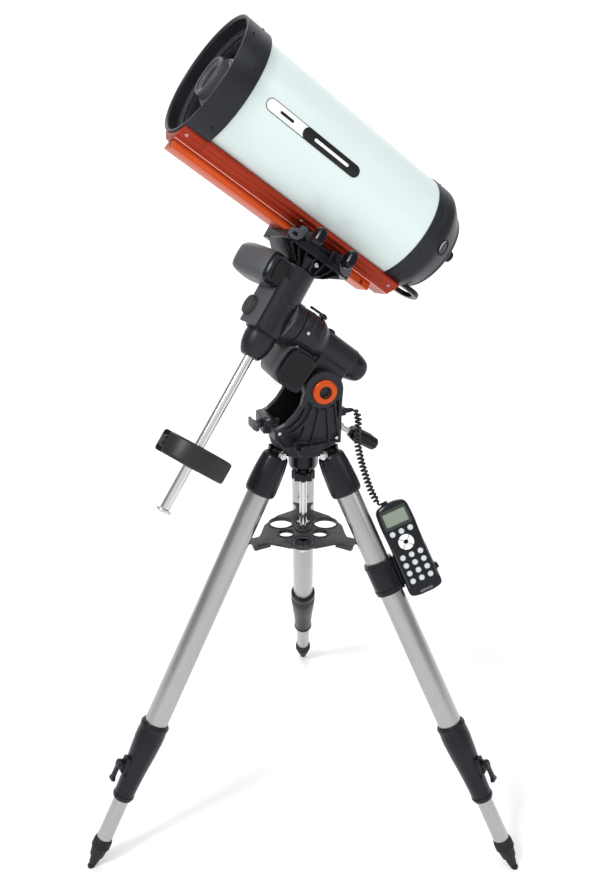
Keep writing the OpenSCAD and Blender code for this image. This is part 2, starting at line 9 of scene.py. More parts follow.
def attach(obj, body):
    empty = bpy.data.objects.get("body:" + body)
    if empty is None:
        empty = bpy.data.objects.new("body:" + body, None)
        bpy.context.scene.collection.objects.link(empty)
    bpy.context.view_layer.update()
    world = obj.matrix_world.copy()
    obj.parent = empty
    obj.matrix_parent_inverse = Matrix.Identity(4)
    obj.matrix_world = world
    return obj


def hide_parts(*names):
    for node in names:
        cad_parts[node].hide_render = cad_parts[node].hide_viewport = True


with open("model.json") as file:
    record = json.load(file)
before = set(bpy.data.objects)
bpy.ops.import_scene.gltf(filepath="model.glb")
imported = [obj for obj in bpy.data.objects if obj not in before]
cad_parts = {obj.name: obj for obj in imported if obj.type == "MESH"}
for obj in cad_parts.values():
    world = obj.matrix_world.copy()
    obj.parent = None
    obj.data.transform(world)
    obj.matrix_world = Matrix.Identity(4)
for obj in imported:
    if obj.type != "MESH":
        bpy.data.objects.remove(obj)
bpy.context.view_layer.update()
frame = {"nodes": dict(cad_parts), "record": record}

MM = 0.001

# ------------------------------------------------------------------ frames, in millimetres
STAND_Y = -133.5
HEAD_TOP = 900
PIVOT_R, PIVOT_Z, FOOT_R = 62, 884, 534
SPLAY = math.degrees(math.atan((FOOT_R - PIVOT_R) / PIVOT_Z))
LEG_LEN = PIVOT_Z / math.cos(math.radians(SPLAY))
LEGS = {"left": 210, "right": 330, "rear": 90}
LATITUDE, AZIMUTH, RA_TURN = 37, 21, 11.5
HUB_X, HUB_Z, AXIS_UP, CROSS_X = -22, 123, 72, 161
TUBE_REACH, TUBE_R, FRONT_R, FRONT_X, CELL = 296, 115, 123.5, 351, 56
REAR_EDGE = FRONT_X - CELL - 445
WEIGHT_R, WEIGHT_T, WEIGHT_AT = 74.5, 45, 322
TRAY_Z, ROD_KNOB_Z = 686, 812


def move(x, y, z):
    return Matrix.Translation((x, y, z))


def turn(degrees, axis):
    return Matrix.Rotation(math.radians(degrees), 4, axis)


STAND = move(0, STAND_Y, 0)
AZ = STAND @ move(0, 0, HEAD_TOP) @ turn(180 + AZIMUTH, "Z")
LAT = AZ @ move(HUB_X, 0, HUB_Z) @ turn(-LATITUDE, "Y")
RA = LAT @ move(CROSS_X, 0, AXIS_UP) @ turn(RA_TURN, "X")
DEC = RA
TUBE = DEC @ move(0, 0, TUBE_REACH) @ turn(90, "Y")
ALONG_X = turn(90, "Y")
ALONG_Y = turn(-90, "X")
REAR_SCREW = AZ @ move(-64, 0, 30) @ turn(-90 - 32, "Y")


def leg_frame(name):
    """+Z down the leg from its pivot, -X on its outer side."""
    return STAND @ turn(LEGS[name], "Z") @ move(PIVOT_R, 0, PIVOT_Z) @ turn(180 - SPLAY, "Y")


CONTROL = leg_frame("right") @ move(0, 0, 250) @ turn(180, "Y") @ turn(-143, "Z") @ move(-70, 6, 0)


# ------------------------------------------------------------------ geometry helpers
def rounded(points, radius, steps=4):
    """A closed outline with each corner rounded; radius is one number or one per corner."""
    out, n = [], len(points)
    radii = [radius] * n if isinstance(radius, (int, float)) else list(radius)
    for i, r in enumerate(radii):
        p, a, b = (Vector(points[k % n]) for k in (i, i - 1, i + 1))
        u, v = a - p, b - p
        r_cut = min(r, 0.49 * u.length, 0.49 * v.length)
        if r_cut <= 0:
            out.append(tuple(p))
            continue
        start, end = p + u.normalized() * r_cut, p + v.normalized() * r_cut
        for k in range(steps + 1):
            t = k / steps
            out.append(tuple(start * (1 - t) ** 2 + p * 2 * t * (1 - t) + end * t * t))
    return out


def circle(radius, steps=48, start=0.0):
    return [(radius * math.cos(start + 2 * math.pi * k / steps),
             radius * math.sin(start + 2 * math.pi * k / steps))
            for k in range(steps)]


def ellipse(a, b, steps=48):
    return [(a * x, b * y) for x, y in circle(1, steps)]


def moved(points, x, y, degrees=0):
    c, s = math.cos(math.radians(degrees)), math.sin(math.radians(degrees))
    return [(x + c * px - s * py, y + s * px + c * py) for px, py in points]


class Piece:
    """Collects closed solids, drawn in millimetres in one frame, and makes one mesh object of them."""

    def __init__(self, name, base):
        self.name, self.base, self.at, self.bm = name, base, Matrix.Identity(4), bmesh.new()

    def place(self, matrix=None):
        self.at = matrix or Matrix.Identity(4)
        return self

    def take(self, part, bevel=0.0, segments=2, angle=30):
        """Adds a bmesh, with its sharp edges rounded first."""
        bmesh.ops.remove_doubles(part, verts=part.verts, dist=1e-4)
        bmesh.ops.recalc_face_normals(part, faces=part.faces)
        if bevel:
            limit = math.radians(angle)
            edges = [e for e in part.edges if len(e.link_faces) == 2 and e.calc_face_angle(0) > limit]
            bmesh.ops.bevel(part, geom=edges, offset=bevel, segments=segments, profile=0.6,
                            affect="EDGES", clamp_overlap=True)
        mesh = bpy.data.meshes.new("scratch")
        part.to_mesh(mesh)
        part.free()
        mesh.transform(self.at)
        if self.at.determinant() < 0:
            mesh.flip_normals()
        self.bm.from_mesh(mesh)
        bpy.data.meshes.remove(mesh)
        return self

    def lathe(self, profile, steps=64, closed=False):
        """Turns (radius, height) points about Z; a closed profile makes a ring."""
        part = bmesh.new()
        rings = []
        for r, z in profile:
            if r < 1e-6:
                rings.append([part.verts.new((0, 0, z))] * steps)
            else:
                rings.append([part.verts.new((x, y, z)) for x, y in circle(r, steps)])
        pairs = list(zip(rings, rings[1:])) + ([(rings[-1], rings[0])] if closed else [])
        for a, b in pairs:
            for k in range(steps):
                m = (k + 1) % steps
                corner = []
                for v in (a[k], a[m], b[m], b[k]):
                    if v not in corner:
                        corner.append(v)
                if len(corner) > 2:
                    part.faces.new(corner)
        return self.take(part)

    def rod(self, r, z0, z1, edge=0.6, steps=48):
        profile = [(0, z0), (r, z0), (r, z1), (0, z1)]
        return self.lathe([profile[0]] + rounded(profile, [0, edge, edge, 0], 3)[1:-1] + [profile[-1]], steps)

    def ring(self, r_out, r_in, z0, z1, edge=0.5, steps=64):
        return self.lathe(rounded([(r_in, z0), (r_out, z0), (r_out, z1), (r_in, z1)], edge, 3), steps,
                          closed=True)

    def slab(self, outline, z0, z1, bevel=0.6, holes=(), segments=2):
        """An outline drawn up from z0 to z1, with round or shaped holes."""
        part = bmesh.new()
        loops = []
        for points in [outline, *holes]:
            verts = [part.verts.new((x, y, z0)) for x, y in points]
            loops += [part.edges.new((verts[i - 1], verts[i])) for i in range(len(verts))]
        faces = bmesh.ops.triangle_fill(part, use_beauty=True, use_dissolve=False, edges=loops)["geom"]
        faces = [f for f in faces if isinstance(f, bmesh.types.BMFace)]
        up = bmesh.ops.extrude_face_region(part, geom=faces)["geom"]
        top = [v for v in up if isinstance(v, bmesh.types.BMVert)]
        bmesh.ops.translate(part, vec=(0, 0, z1 - z0), verts=top)
        return self.take(part, bevel, segments)

    def box(self, size, centre=(0, 0, 0), bevel=0.8, segments=2):
        part = bmesh.new()
        bmesh.ops.create_cube(part, size=1, matrix=move(*centre) @ Matrix.Diagonal((*size, 1)))
        return self.take(part, bevel, segments)

    def ball(self, size, centre=(0, 0, 0), steps=32):
        part = bmesh.new()
        bmesh.ops.create_uvsphere(part, u_segments=steps, v_segments=steps // 2, radius=0.5,
                                  matrix=move(*centre) @ Matrix.Diagonal((*size, 1)))
        return self.take(part)

    def loft(self, sections):
        """Joins outlines of equal point counts, each (points, z), into one closed solid."""
        part = bmesh.new()
        rings = [[part.verts.new((x, y, z)) for x, y in points] for points, z in sections]
        for a, b in zip(rings, rings[1:]):
            for k in range(len(a)):
                part.faces.new((a[k - 1], a[k], b[k], b[k - 1]))
        part.faces.new(rings[0])
        part.faces.new(rings[-1][::-1])
        return self.take(part)

    def sweep(self, points, radius, sides=12, ends=True):
        """A round tube along a path; radius is one number or one per point."""
        part = bmesh.new()
        pts = [Vector(p) for p in points]
        radii = [radius] * len(pts) if isinstance(radius, (int, float)) else radius
        side, rings = None, []
        for i, (p, r) in enumerate(zip(pts, radii)):
            along = (pts[min(i + 1, len(pts) - 1)] - pts[max(i - 1, 0)]).normalized()
            side = (along.orthogonal() if side is None else side - along * side.dot(along)).normalized()
            other = along.cross(side)
            rings.append([part.verts.new(p + r * (x * side + y * other)) for x, y in circle(1, sides)])
        for a, b in zip(rings, rings[1:]):
            for k in range(sides):
                part.faces.new((a[k - 1], a[k], b[k], b[k - 1]))
        if ends:
            part.faces.new(rings[0])
            part.faces.new(rings[-1][::-1])
        return self.take(part)

    def screw(self, x, y, z, r=2.6, up=True):
        """A small socket-head screw on a face at z."""
        s = 1 if up else -1
        keep = self.at
        self.at = keep @ move(x, y, z)
        self.lathe([(0, -0.4 * s), (r, -0.4 * s), (r, 1.3 * s), (r * 0.8, 1.8 * s), (r * 0.5, 1.8 * s),
                    (r * 0.45, 0.7 * s), (0, 0.6 * s)], 20)
        self.at = keep
        return self

    def done(self, body, material, replaces=(), slot=None, smooth=35, cast=None, cut=None):
        """Makes the object. cast = (voxel, passes) melts overlapping solids into one casting."""
        mesh = bpy.data.meshes.new(self.name)
        bmesh.ops.recalc_face_normals(self.bm, faces=self.bm.faces)
        self.bm.to_mesh(mesh)
        self.bm.free()
        mesh.transform(Matrix.Scale(MM, 4) @ self.base)
        obj = bpy.data.objects.new(self.name, mesh)
        bpy.context.scene.collection.objects.link(obj)
        if cast:
            melt(obj, *cast)
        if cut:
            carve(obj, cut, not cast)
        obj.data.shade_smooth()
        obj.data.set_sharp_from_angle(angle=math.radians(smooth))
        obj.data.materials.clear()
        obj.data.materials.append(material)
        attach(obj, body)
        if replaces:
            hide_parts(*([replaces] if isinstance(replaces, str) else replaces))
        return obj


def bake_modifiers(obj):
    """Replaces the object's mesh by what its modifiers make of it."""
    graph = bpy.context.evaluated_depsgraph_get()
    made = bpy.data.meshes.new_from_object(obj.evaluated_get(graph))
    obj.modifiers.clear()
    obj.data = made


def melt(obj, voxel, passes):
    """Joins overlapping solids and softens every edge, as on a casting."""
    remesh = obj.modifiers.new("melt", "REMESH")
    remesh.mode, remesh.voxel_size = "VOXEL", voxel * MM
    soften = obj.modifiers.new("soften", "SMOOTH")
    soften.factor, soften.iterations = 0.5, passes
    thin = obj.modifiers.new("thin", "DECIMATE")
    thin.ratio = 0.5
    bake_modifiers(obj)


def carve(obj, cutter, overlaps):
    """Cuts a Piece out of an object; overlaps tells that its solids still overlap each other."""
    mesh = bpy.data.meshes.new("cutter")
    bmesh.ops.recalc_face_normals(cutter.bm, faces=cutter.bm.faces)
    cutter.bm.to_mesh(mesh)
    cutter.bm.free()
    mesh.transform(Matrix.Scale(MM, 4) @ cutter.base)
    tool = bpy.data.objects.new("cutter", mesh)
    bpy.context.scene.collection.objects.link(tool)
    cut = obj.modifiers.new("cut", "BOOLEAN")
    cut.operation, cut.object, cut.solver = "DIFFERENCE", tool, "EXACT"
    cut.use_self = overlaps
    bake_modifiers(obj)
    bpy.data.objects.remove(tool)


# ------------------------------------------------------------------ materials
def material(name, colour, rough=0.5, metal=0.0, grain=900.0, bump=0.15, mottle=0.08, streak=None, coat=0.0,
             rough_spread=0.08, distance=0.0004, transmission=0.0, specular=0.3, sheen=(1, 1, 1)):
    """A procedural finish: colour mottled by noise, roughness by noise, and a fine grain as bump.
    streak = (x, y, z) stretches the grain, for drawn or brushed metal; sheen tints the highlights."""
    made = bpy.data.materials.new(name)
    made.use_nodes = True
    nodes, links = made.node_tree.nodes, made.node_tree.links
    shader = nodes["Principled BSDF"]
    shader.inputs["Metallic"].default_value = metal
    shader.inputs["Coat Weight"].default_value = coat
    shader.inputs["Coat Roughness"].default_value = 0.12
    shader.inputs["Transmission Weight"].default_value = transmission
    shader.inputs["Specular IOR Level"].default_value = specular
    shader.inputs["Specular Tint"].default_value = (*sheen, 1)
    where = nodes.new("ShaderNodeTexCoord")
    place = nodes.new("ShaderNodeMapping")
    place.inputs["Scale"].default_value = streak or (1, 1, 1)
    links.new(where.outputs["Object"], place.inputs["Vector"])
    fine = nodes.new("ShaderNodeTexNoise")
    fine.inputs["Scale"].default_value = grain
    fine.inputs["Detail"].default_value = 3
    links.new(place.outputs["Vector"], fine.inputs["Vector"])
    broad = nodes.new("ShaderNodeTexNoise")
    broad.inputs["Scale"].default_value = 14
    broad.inputs["Detail"].default_value = 4
    links.new(where.outputs["Object"], broad.inputs["Vector"])
    shade = nodes.new("ShaderNodeMix")
    shade.data_type = "RGBA"
    dark = [c * (1 - mottle) for c in colour]
    light = [min(1, c * (1 + mottle)) for c in colour]
    shade.inputs["A"].default_value = (*dark, 1)
    shade.inputs["B"].default_value = (*light, 1)
    both = nodes.new("ShaderNodeMath")
    both.operation = "MULTIPLY_ADD"
    both.inputs[1].default_value = 0.5
    links.new(fine.outputs["Fac"], both.inputs[0])
    half = nodes.new("ShaderNodeMath")
    half.operation = "MULTIPLY"
    half.inputs[1].default_value = 0.5
    links.new(broad.outputs["Fac"], half.inputs[0])
    links.new(half.outputs["Value"], both.inputs[2])
    links.new(both.outputs["Value"], shade.inputs["Factor"])
    links.new(shade.outputs["Result"], shader.inputs["Base Color"])
    span = nodes.new("ShaderNodeMapRange")
    span.inputs["To Min"].default_value = rough - rough_spread
    span.inputs["To Max"].default_value = rough + rough_spread
    links.new(both.outputs["Value"], span.inputs["Value"])
    links.new(span.outputs["Result"], shader.inputs["Roughness"])
    relief = nodes.new("ShaderNodeBump")
    relief.inputs["Strength"].default_value = bump
    relief.inputs["Distance"].default_value = distance
    links.new(fine.outputs["Fac"], relief.inputs["Height"])
    links.new(relief.outputs["Normal"], shader.inputs["Normal"])
    return made


enamel = material("tube_enamel", (0.665, 0.760, 0.740), 0.30, grain=500, bump=0.02, mottle=0.012, coat=0.3,
                  specular=0.5)
# tint of the highlights on the black finishes
COOL = (0.80, 0.86, 1.0)
charcoal = material("charcoal_paint", (0.0105, 0.0108, 0.0122), 0.34, grain=1400, bump=0.25, mottle=0.15,
                    specular=0.34, sheen=COOL)
black_cast = material("black_cast", (0.0060, 0.0062, 0.0072), 0.27, grain=1200, bump=0.18, mottle=0.15,
                      specular=0.30, sheen=COOL)
black_plastic = material("black_plastic", (0.0052, 0.0054, 0.0060), 0.22, grain=1500, bump=0.08, mottle=0.12,
                         specular=0.28, sheen=COOL)
grey_plastic = material("grey_plastic", (0.030, 0.031, 0.034), 0.42, grain=1500, bump=0.12, mottle=0.12)
matt_black = material("matt_black", (0.0045, 0.0045, 0.005), 0.7, grain=800, bump=0.2, mottle=0.2)
rubber = material("rubber", (0.010, 0.010, 0.011), 0.58, grain=1100, bump=0.3, mottle=0.15)
drawn_steel = material("drawn_steel", (0.41, 0.407, 0.396), 0.28, 1.0, grain=900, bump=0.08, mottle=0.06)
polished = material("polished_bar", (0.62, 0.62, 0.62), 0.12, 1.0, grain=700, bump=0.02, mottle=0.03,
                    rough_spread=0.03)
zinc = material("zinc_bolt", (0.60, 0.60, 0.58), 0.28, 1.0, grain=900, bump=0.1)
orange = material("orange_anodised", (0.54, 0.072, 0.012), 0.34, 0.6, grain=900, bump=0.06, mottle=0.08,
                  streak=(0.05, 1, 1))
glass = material("coated_glass", (0.90, 0.93, 0.95), 0.06, grain=60, bump=0.0, mottle=0.02, transmission=1.0,
                 rough_spread=0.02)
# light lavender on an opaque lens: the coating's purple tint, lightened into a painted reflection of the bright
# room
lens_tint_and_reflection = material("lens_coating_and_reflection", (0.80, 0.74, 0.86), 0.08, grain=40, bump=0.0, mottle=0.25, coat=1.0,
                     rough_spread=0.03)
mirror = material("mirror_coating", (0.86, 0.88, 0.9), 0.05, 1.0, grain=60, bump=0.0, mottle=0.02,
                  rough_spread=0.02)
key_rubber = material("key_rubber", (0.55, 0.57, 0.57), 0.5, grain=1200, bump=0.12, mottle=0.04)
lcd = material("lcd_window", (0.20, 0.24, 0.18), 0.22, grain=900, bump=0.0, mottle=0.06, coat=0.6)
white_plate = material("white_plate", (0.86, 0.87, 0.86), 0.35, grain=600, bump=0.03, mottle=0.02)
black_plate = material("black_plate", (0.010, 0.010, 0.011), 0.28, grain=600, bump=0.03)
floor_paper = material("floor_paper", (0.93, 0.93, 0.93), 0.85, grain=40, bump=0.0, mottle=0.004)

# a darker, redder copy of the orange anodised finish: painted shade on the dovetail plate's flanks
shaded_orange = material("orange_painted_shade", (0.34, 0.031, 0.010), 0.34, 0.6, grain=900, bump=0.06, mottle=0.12,
                   streak=(0.05, 1, 1))
# light rose-orange: a painted highlight for the lit edges of the orange dovetail
painted_highlight_edge = material("painted_highlight_edge", (0.80, 0.34, 0.28), 0.30, 0.3, grain=900, bump=0.04, mottle=0.05)
light_plastic = material("light_grey_plastic", (0.066, 0.068, 0.074), 0.40, grain=1500, bump=0.12, mottle=0.1,
                         specular=0.45)
# lighter blue-grey than the black castings; on the declination head's side panel it is a painted highlight of the
# lit face
blue_grey = material("blue_grey_and_painted_highlight", (0.070, 0.073, 0.085), 0.36, grain=1300, bump=0.15, mottle=0.1)
hub_grey = material("hub_grey", (0.080, 0.082, 0.087), 0.38, grain=1300, bump=0.1, mottle=0.08)
iron_grey = material("iron_grey", (0.045, 0.048, 0.050), 0.40, 0.2, grain=1300, bump=0.2, mottle=0.1)
charcoal_iron = material("charcoal_iron", (0.0145, 0.0150, 0.0165), 0.36, grain=1100, bump=0.28, mottle=0.15)
dark_rubber = material("ribbed_rubber", (0.036, 0.038, 0.040), 0.55, grain=1200, bump=0.2)
white_rubber = material("white_rubber", (0.80, 0.81, 0.81), 0.45, grain=1200, bump=0.1, mottle=0.03)
cord_rubber = material("cord_rubber", (0.010, 0.010, 0.011), 0.42, grain=900, bump=0.06)

CAD_FINISH = {
    "charcoal_iron": charcoal_iron,
    "tube_white": enamel, "charcoal_cast": charcoal, "black_cast": black_cast, "black_plastic": black_plastic,
    "grey_plastic": grey_plastic, "rubber_black": rubber, "steel_tube": drawn_steel, "chrome_bar": polished,
    "steel_bolt": zinc, "orange_anodised": orange, "glass_coated": glass, "mirror_coat": mirror,
    "key_grey": key_rubber, "lcd": lcd,
}


# ------------------------------------------------------------------ camera, light and floor
def studio():
    data = bpy.data.cameras.new("camera")
    data.sensor_width, data.lens = 36, 40.6
    data.clip_start, data.clip_end = 0.05, 60
    camera = bpy.data.objects.new("camera", data)
    bpy.context.scene.collection.objects.link(camera)
    camera.location = (0, -2.0685, 1.687)
    camera.rotation_euler = (math.radians(90 - 22.3), 0, math.radians(0.2))
    bpy.context.scene.camera = camera
    world = bpy.data.worlds.new("studio")
    world.use_nodes = True
    sky = world.node_tree
    background = sky.nodes["Background"]
    background.inputs["Color"].default_value = (0.97, 0.985, 1.0, 1)
    where = sky.nodes.new("ShaderNodeTexCoord")
    split = sky.nodes.new("ShaderNodeSeparateXYZ")
    side = sky.nodes.new("ShaderNodeMath")
    side.operation = "ABSOLUTE"
    fade = sky.nodes.new("ShaderNodeMapRange")
    fade.interpolation_type = "SMOOTHSTEP"
    # the room is bright in front, behind and above, and dimmer to the left and right
    for key, value in (("From Min", 0.30), ("From Max", 0.85), ("To Min", 1.05), ("To Max", 0.40)):
        fade.inputs[key].default_value = value
    sky.links.new(where.outputs["Generated"], split.inputs["Vector"])
    sky.links.new(split.outputs["X"], side.inputs[0])
    sky.links.new(side.outputs["Value"], fade.inputs["Value"])
    sky.links.new(fade.outputs["Result"], background.inputs["Strength"])
    bpy.context.scene.world = world
    for name, at, spread, strength in (("key", (-2.4, -2.4, 3.6), 14, 1.5),
                                       ("fill", (3.0, -1.6, 2.6), 30, 0.45),
                                       ("back", (-1.2, 3.0, 2.6), 25, 0.5)):
        light = bpy.data.lights.new(name, "SUN")
        light.angle, light.energy = math.radians(spread), strength
        lamp = bpy.data.objects.new(name, light)
        lamp.rotation_euler = (-Vector(at)).to_track_quat("-Z", "Y").to_euler()
        bpy.context.scene.collection.objects.link(lamp)
    bpy.context.scene.view_settings.view_transform = "Standard"
    mesh = bpy.data.meshes.new("floor")
    mesh.from_pydata([(-30, -30, 0), (30, -30, 0), (30, 30, 0), (-30, 30, 0)], [], [(0, 1, 2, 3)])
    floor = bpy.data.objects.new("floor", mesh)
    bpy.context.scene.collection.objects.link(floor)
    mesh.materials.append(floor_paper)


studio()


# ------------------------------------------------------------------ optical tube
def tube_group():
    body = "telescope"
    e = REAR_EDGE
    f = FRONT_X
    shell = Piece("optical_tube_skin", TUBE)
    shell.lathe([(TUBE_R - 2, e - 12), (TUBE_R, e - 12), (TUBE_R, f - CELL + 10), (TUBE_R - 2, f - CELL + 10)],
                160, closed=True)
    shell.done(body, enamel, "optical_tube", "tube_white", smooth=30)

    cell = Piece("front_cell_body", TUBE)
    outline = rounded([(TUBE_R, f - CELL), (FRONT_R, f - CELL), (FRONT_R, f), (FRONT_R - 4.5, f),
                       (FRONT_R - 7, f - 4), (FRONT_R - 7, f - 26), (108, f - 26), (108, f - 40),
                       (104, f - CELL - 6), (TUBE_R - 3, f - CELL - 6), (TUBE_R - 3, f - CELL)],
                      [0.5, 3, 1.4, 1, 1.5, 1, 0.8, 0.5, 0.5, 0.5, 0.5], 3)
    cell.lathe(outline, 160, closed=True)
    for k in range(6):
        a = math.radians(15 + 60 * k)
        cell.screw((FRONT_R - 12) * math.cos(a), (FRONT_R - 12) * math.sin(a), f - 26, 2.4)
    cell.done(body, charcoal, "front_cell", "charcoal_cast", smooth=30)

    trim = Piece("front_cell_rings", TUBE)
    trim.ring(FRONT_R - 8, FRONT_R - 9.4, f - 27, f - 24.2, 0.4, 160)
    trim.ring(108.6, 106.6, f - 30, f - 25.2, 0.4, 160)
    trim.ring(46.5, 44.5, f - 29, f - 22.6, 0.4, 96)
    trim.ring(TUBE_R + 0.7, TUBE_R - 0.5, e - 1.4, e + 0.8, 0.3, 160)
    trim.done(body, light_plastic, slot="grey_plastic", smooth=30)

    rim_screws = Piece("front_cell_screws", TUBE)
    for k in range(12):
        rim_screws.place(turn(30 * k + 8, "Z") @ move(FRONT_R - 0.3, 0, f - 14 - 26 * (k % 2)) @ ALONG_X)
        rim_screws.screw(0, 0, 0, 2.4)
    for k in range(8):
        rim_screws.place(turn(45 * k + 20, "Z") @ move(TUBE_R + 1.6, 0, e - 12) @ ALONG_X).screw(0, 0, 0, 2.2)
    rim_screws.done(body, black_cast, slot="steel_bolt")

    plate = Piece("corrector_sheet", TUBE)
    plate.ring(107, 45, f - 36, f - 30.5, 0.4, 128)
    plate.done(body, glass, "corrector_plate", "glass_coated", smooth=30)

    hub = Piece("lens_hub", TUBE)
    hub.lathe(rounded([(24, f - 108), (45, f - 108), (45, f - 37), (50, f - 30.6), (50, f - 26), (41, f - 24),
                       (40, f - 8), (36, f - 6), (33, f - 11), (27.5, f - 13), (24, f - 24)], 1.2, 3), 96,
              closed=True)
    hub.done(body, hub_grey, "lens_barrel", "black_plastic", smooth=30)
    ring = Piece("lens_hub_ring", TUBE)
    ring.ring(38.5, 34.5, f - 9, f - 5.6, 0.7, 96)
    ring.ring(28.6, 25.6, f - 15, f - 12.2, 0.5, 96)
    ring.done(body, light_plastic, slot="grey_plastic", smooth=30)
    # the lens front is opaque and light: coating tint plus painted reflection
    lens = Piece("lens_front_glass", TUBE)
    dome = [(25 * math.sin(t), f - 47 + 25 * math.cos(t)) for t in np.linspace(0, 0.5 * math.pi, 12)]
    lens.lathe([(0, dome[0][1])] + dome[1:] + [(24, f - 54), (0, f - 54)], 64)
    lens.lathe([(0, f - 104), (23.8, f - 104), (23.8, f - 97), (12, f - 95), (0, f - 94)], 64)
    lens.done(body, lens_tint_and_reflection, "lens_glass", "glass_coated", smooth=40)

    inner = Piece("tube_baffles", TUBE)
    inner.lathe([(TUBE_R - 4.5, e + 8), (TUBE_R - 2.6, e + 8), (TUBE_R - 2.6, f - CELL - 8),
                 (TUBE_R - 4.5, f - CELL - 8)],
                96, closed=True)
    for k in range(9):
        z = e + 40 + 44 * k
        inner.ring(TUBE_R - 4, TUBE_R - 8, z, z + 1.5, 0.2, 96)
    inner.done(body, matt_black, smooth=30)

    back = Piece("rear_cell_body", TUBE)
    back.lathe(rounded([(TUBE_R - 4, e - 42), (TUBE_R - 4, e - 19), (TUBE_R + 0.2, e - 19), (TUBE_R + 0.2, e),
                        (TUBE_R + 2.4, e), (TUBE_R + 2.4, e - 16), (TUBE_R + 1.6, e - 17),
                        (TUBE_R + 1.6, e - 19),
                        (TUBE_R + 2.4, e - 20), (TUBE_R + 2.4, e - 44), (TUBE_R - 6, e - 58), (96, e - 76),
                        (91, e - 82), (89, e - 90), (0.01, e - 90), (0.01, e - 82), (83, e - 82)],
                       [0, 0, 0, 1, 1.5, 0.4, 0.4, 0.4, 0.4, 10, 12, 8, 5, 4, 0, 0, 4], 4), 160)
    back.done(body, charcoal, "rear_cell", "charcoal_cast", smooth=30)
    rear_face = Piece("rear_face_parts", TUBE)
    rear_face.ring(60, 56, e - 92, e - 89.5, 0.6, 96)
    rear_face.rod(26, e - 94, e - 89, 1.5)
    for k in range(6):
        a = math.radians(60 * k + 30)
        rear_face.screw(76 * math.cos(a), 76 * math.sin(a), e - 90, 3.2, up=False)
    rear_face.done(body, black_plastic, slot="black_plastic")

    handle = Piece("rear_handle_loop", TUBE @ move(95, 0, e - 86) @ ALONG_X)
    outer = [(-40, -33), (0, -33)] + [(33 * math.cos(t), 33 * math.sin(t)) for t in np.linspace(-1.4, 1.4,
                                                                                                24)] + \
        [(0, 33), (-40, 33)]
    hole = [(-24, -20), (0, -20)] + [(20 * math.cos(t), 20 * math.sin(t)) for t in np.linspace(-1.4, 1.4,
                                                                                               20)] + \
        [(0, 20), (-24, 20)]
    handle.slab(outer, 0, 10, 3.2, [hole], 3)
    for y in (-26, 26):
        handle.screw(-31, y, 10, 3)
    handle.done(body, black_plastic, "rear_handle", "black_plastic")

    knob = Piece("focus_knob_body", TUBE @ move(0, 46, 0))
    knob.lathe(rounded([(0, e - 118), (11.5, e - 118), (11.5, e - 94), (9, e - 91), (0, e - 91)],
                       [0, 2, 1.5, 1, 0], 3),
               48)
    for k in range(18):
        knob.place(turn(20 * k, "Z")).box((1.6, 1.8, 20), (11.6, 0, e - 105), 0.5, 1)
    knob.place().rod(4, e - 92, e - 50)
    knob.done("focus_knob", black_plastic, "focus_knob", "black_plastic")

    at = TUBE @ turn(82, "Z") @ move(110.5, 0, e - 54) @ turn(90 + 34, "Y")
    port = Piece("side_port", at)
    port.ring(17, 13.5, -4, 1.6, 1.0, 48)
    port.rod(14, -5, -1.5, 0.2, 40)
    port.done(body, matt_black, slot="black_plastic")
    mesh = Piece("side_port_mesh", at)
    for k in range(-4, 5):
        half = math.sqrt(13.4 ** 2 - (3 * k) ** 2)
        mesh.box((0.7, 2 * half, 0.7), (3 * k, 0, -0.8), 0.15, 1)
        mesh.box((2 * half, 0.7, 0.7), (0, 3 * k, -0.6), 0.15, 1)
    mesh.done(body, grey_plastic, slot="grey_plastic")
    # a thin polished crescent on one side of the port's rim: a painted highlight
    glint = Piece("side_port_painted_glint", at)
    glint.sweep([(14.6 * math.cos(t), 14.6 * math.sin(t), 1.2) for t in np.linspace(1.9, 4.1, 24)],
                [0.3 + 1.2 * math.sin(math.pi * k / 23) for k in range(24)], 8)
    glint.done(body, polished, slot="chrome_bar")


def label_plates():
    """The long blank label along the side of the tube: a white half ahead of a black half."""
    turn_to, half_wide = math.radians(85), 12.0

    def strip(piece, z0, z1, lift, inset, round_low, round_high):
        sections, r = [], half_wide - inset
        ends = [r * (1 - math.cos(t)) for t in np.linspace(0.03, math.pi / 2, 10)]
        low, high = z0 + inset, z1 - inset
        for z in [low + e for e in ends] + [high - e for e in reversed(ends)]:
            wide = r
            if round_low and z < z0 + inset + r:
                wide = math.sqrt(max(0, r * r - (z0 + inset + r - z) ** 2))
            if round_high and z > z1 - inset - r:
                wide = math.sqrt(max(0, r * r - (z - (z1 - inset - r)) ** 2))
            wide = max(wide, 0.4) / TUBE_R
            angles = [turn_to + wide * k / 6 for k in range(-6, 7)]
            outer = [((TUBE_R + lift) * math.cos(a), (TUBE_R + lift) * math.sin(a)) for a in angles]
            inner = [((TUBE_R - 0.5) * math.cos(a), (TUBE_R - 0.5) * math.sin(a)) for a in reversed(angles)]
            sections.append((outer + inner, z))
        piece.loft(sections)

    dark = Piece("label_dark", TUBE)
    strip(dark, 38, 262, 0.45, 0, True, True)
    strip(dark, 38, 176, 0.95, 0, True, True)
    strip(dark, 190, 240, 0.95, 9.4, True, True)
    dark.done("telescope", black_plate, slot="black_plastic", smooth=30)
    white = Piece("label_white", TUBE)
    strip(white, 100, 262, 0.7, 1.4, False, True)
    strip(white, 56, 158, 1.2, 9.2, True, True)
    white.done("telescope", white_plate, slot="tube_white", smooth=30)


# ------------------------------------------------------------------ dovetail, saddle and its knobs
PROFILE_X = Matrix(((0, 0, 1, 0), (1, 0, 0, 0), (0, 1, 0, 0), (0, 0, 0, 1)))
PLATE_Z, FOOT_Z, WING, NECK, FOOT_W = 160, 143, 48, 21, 22


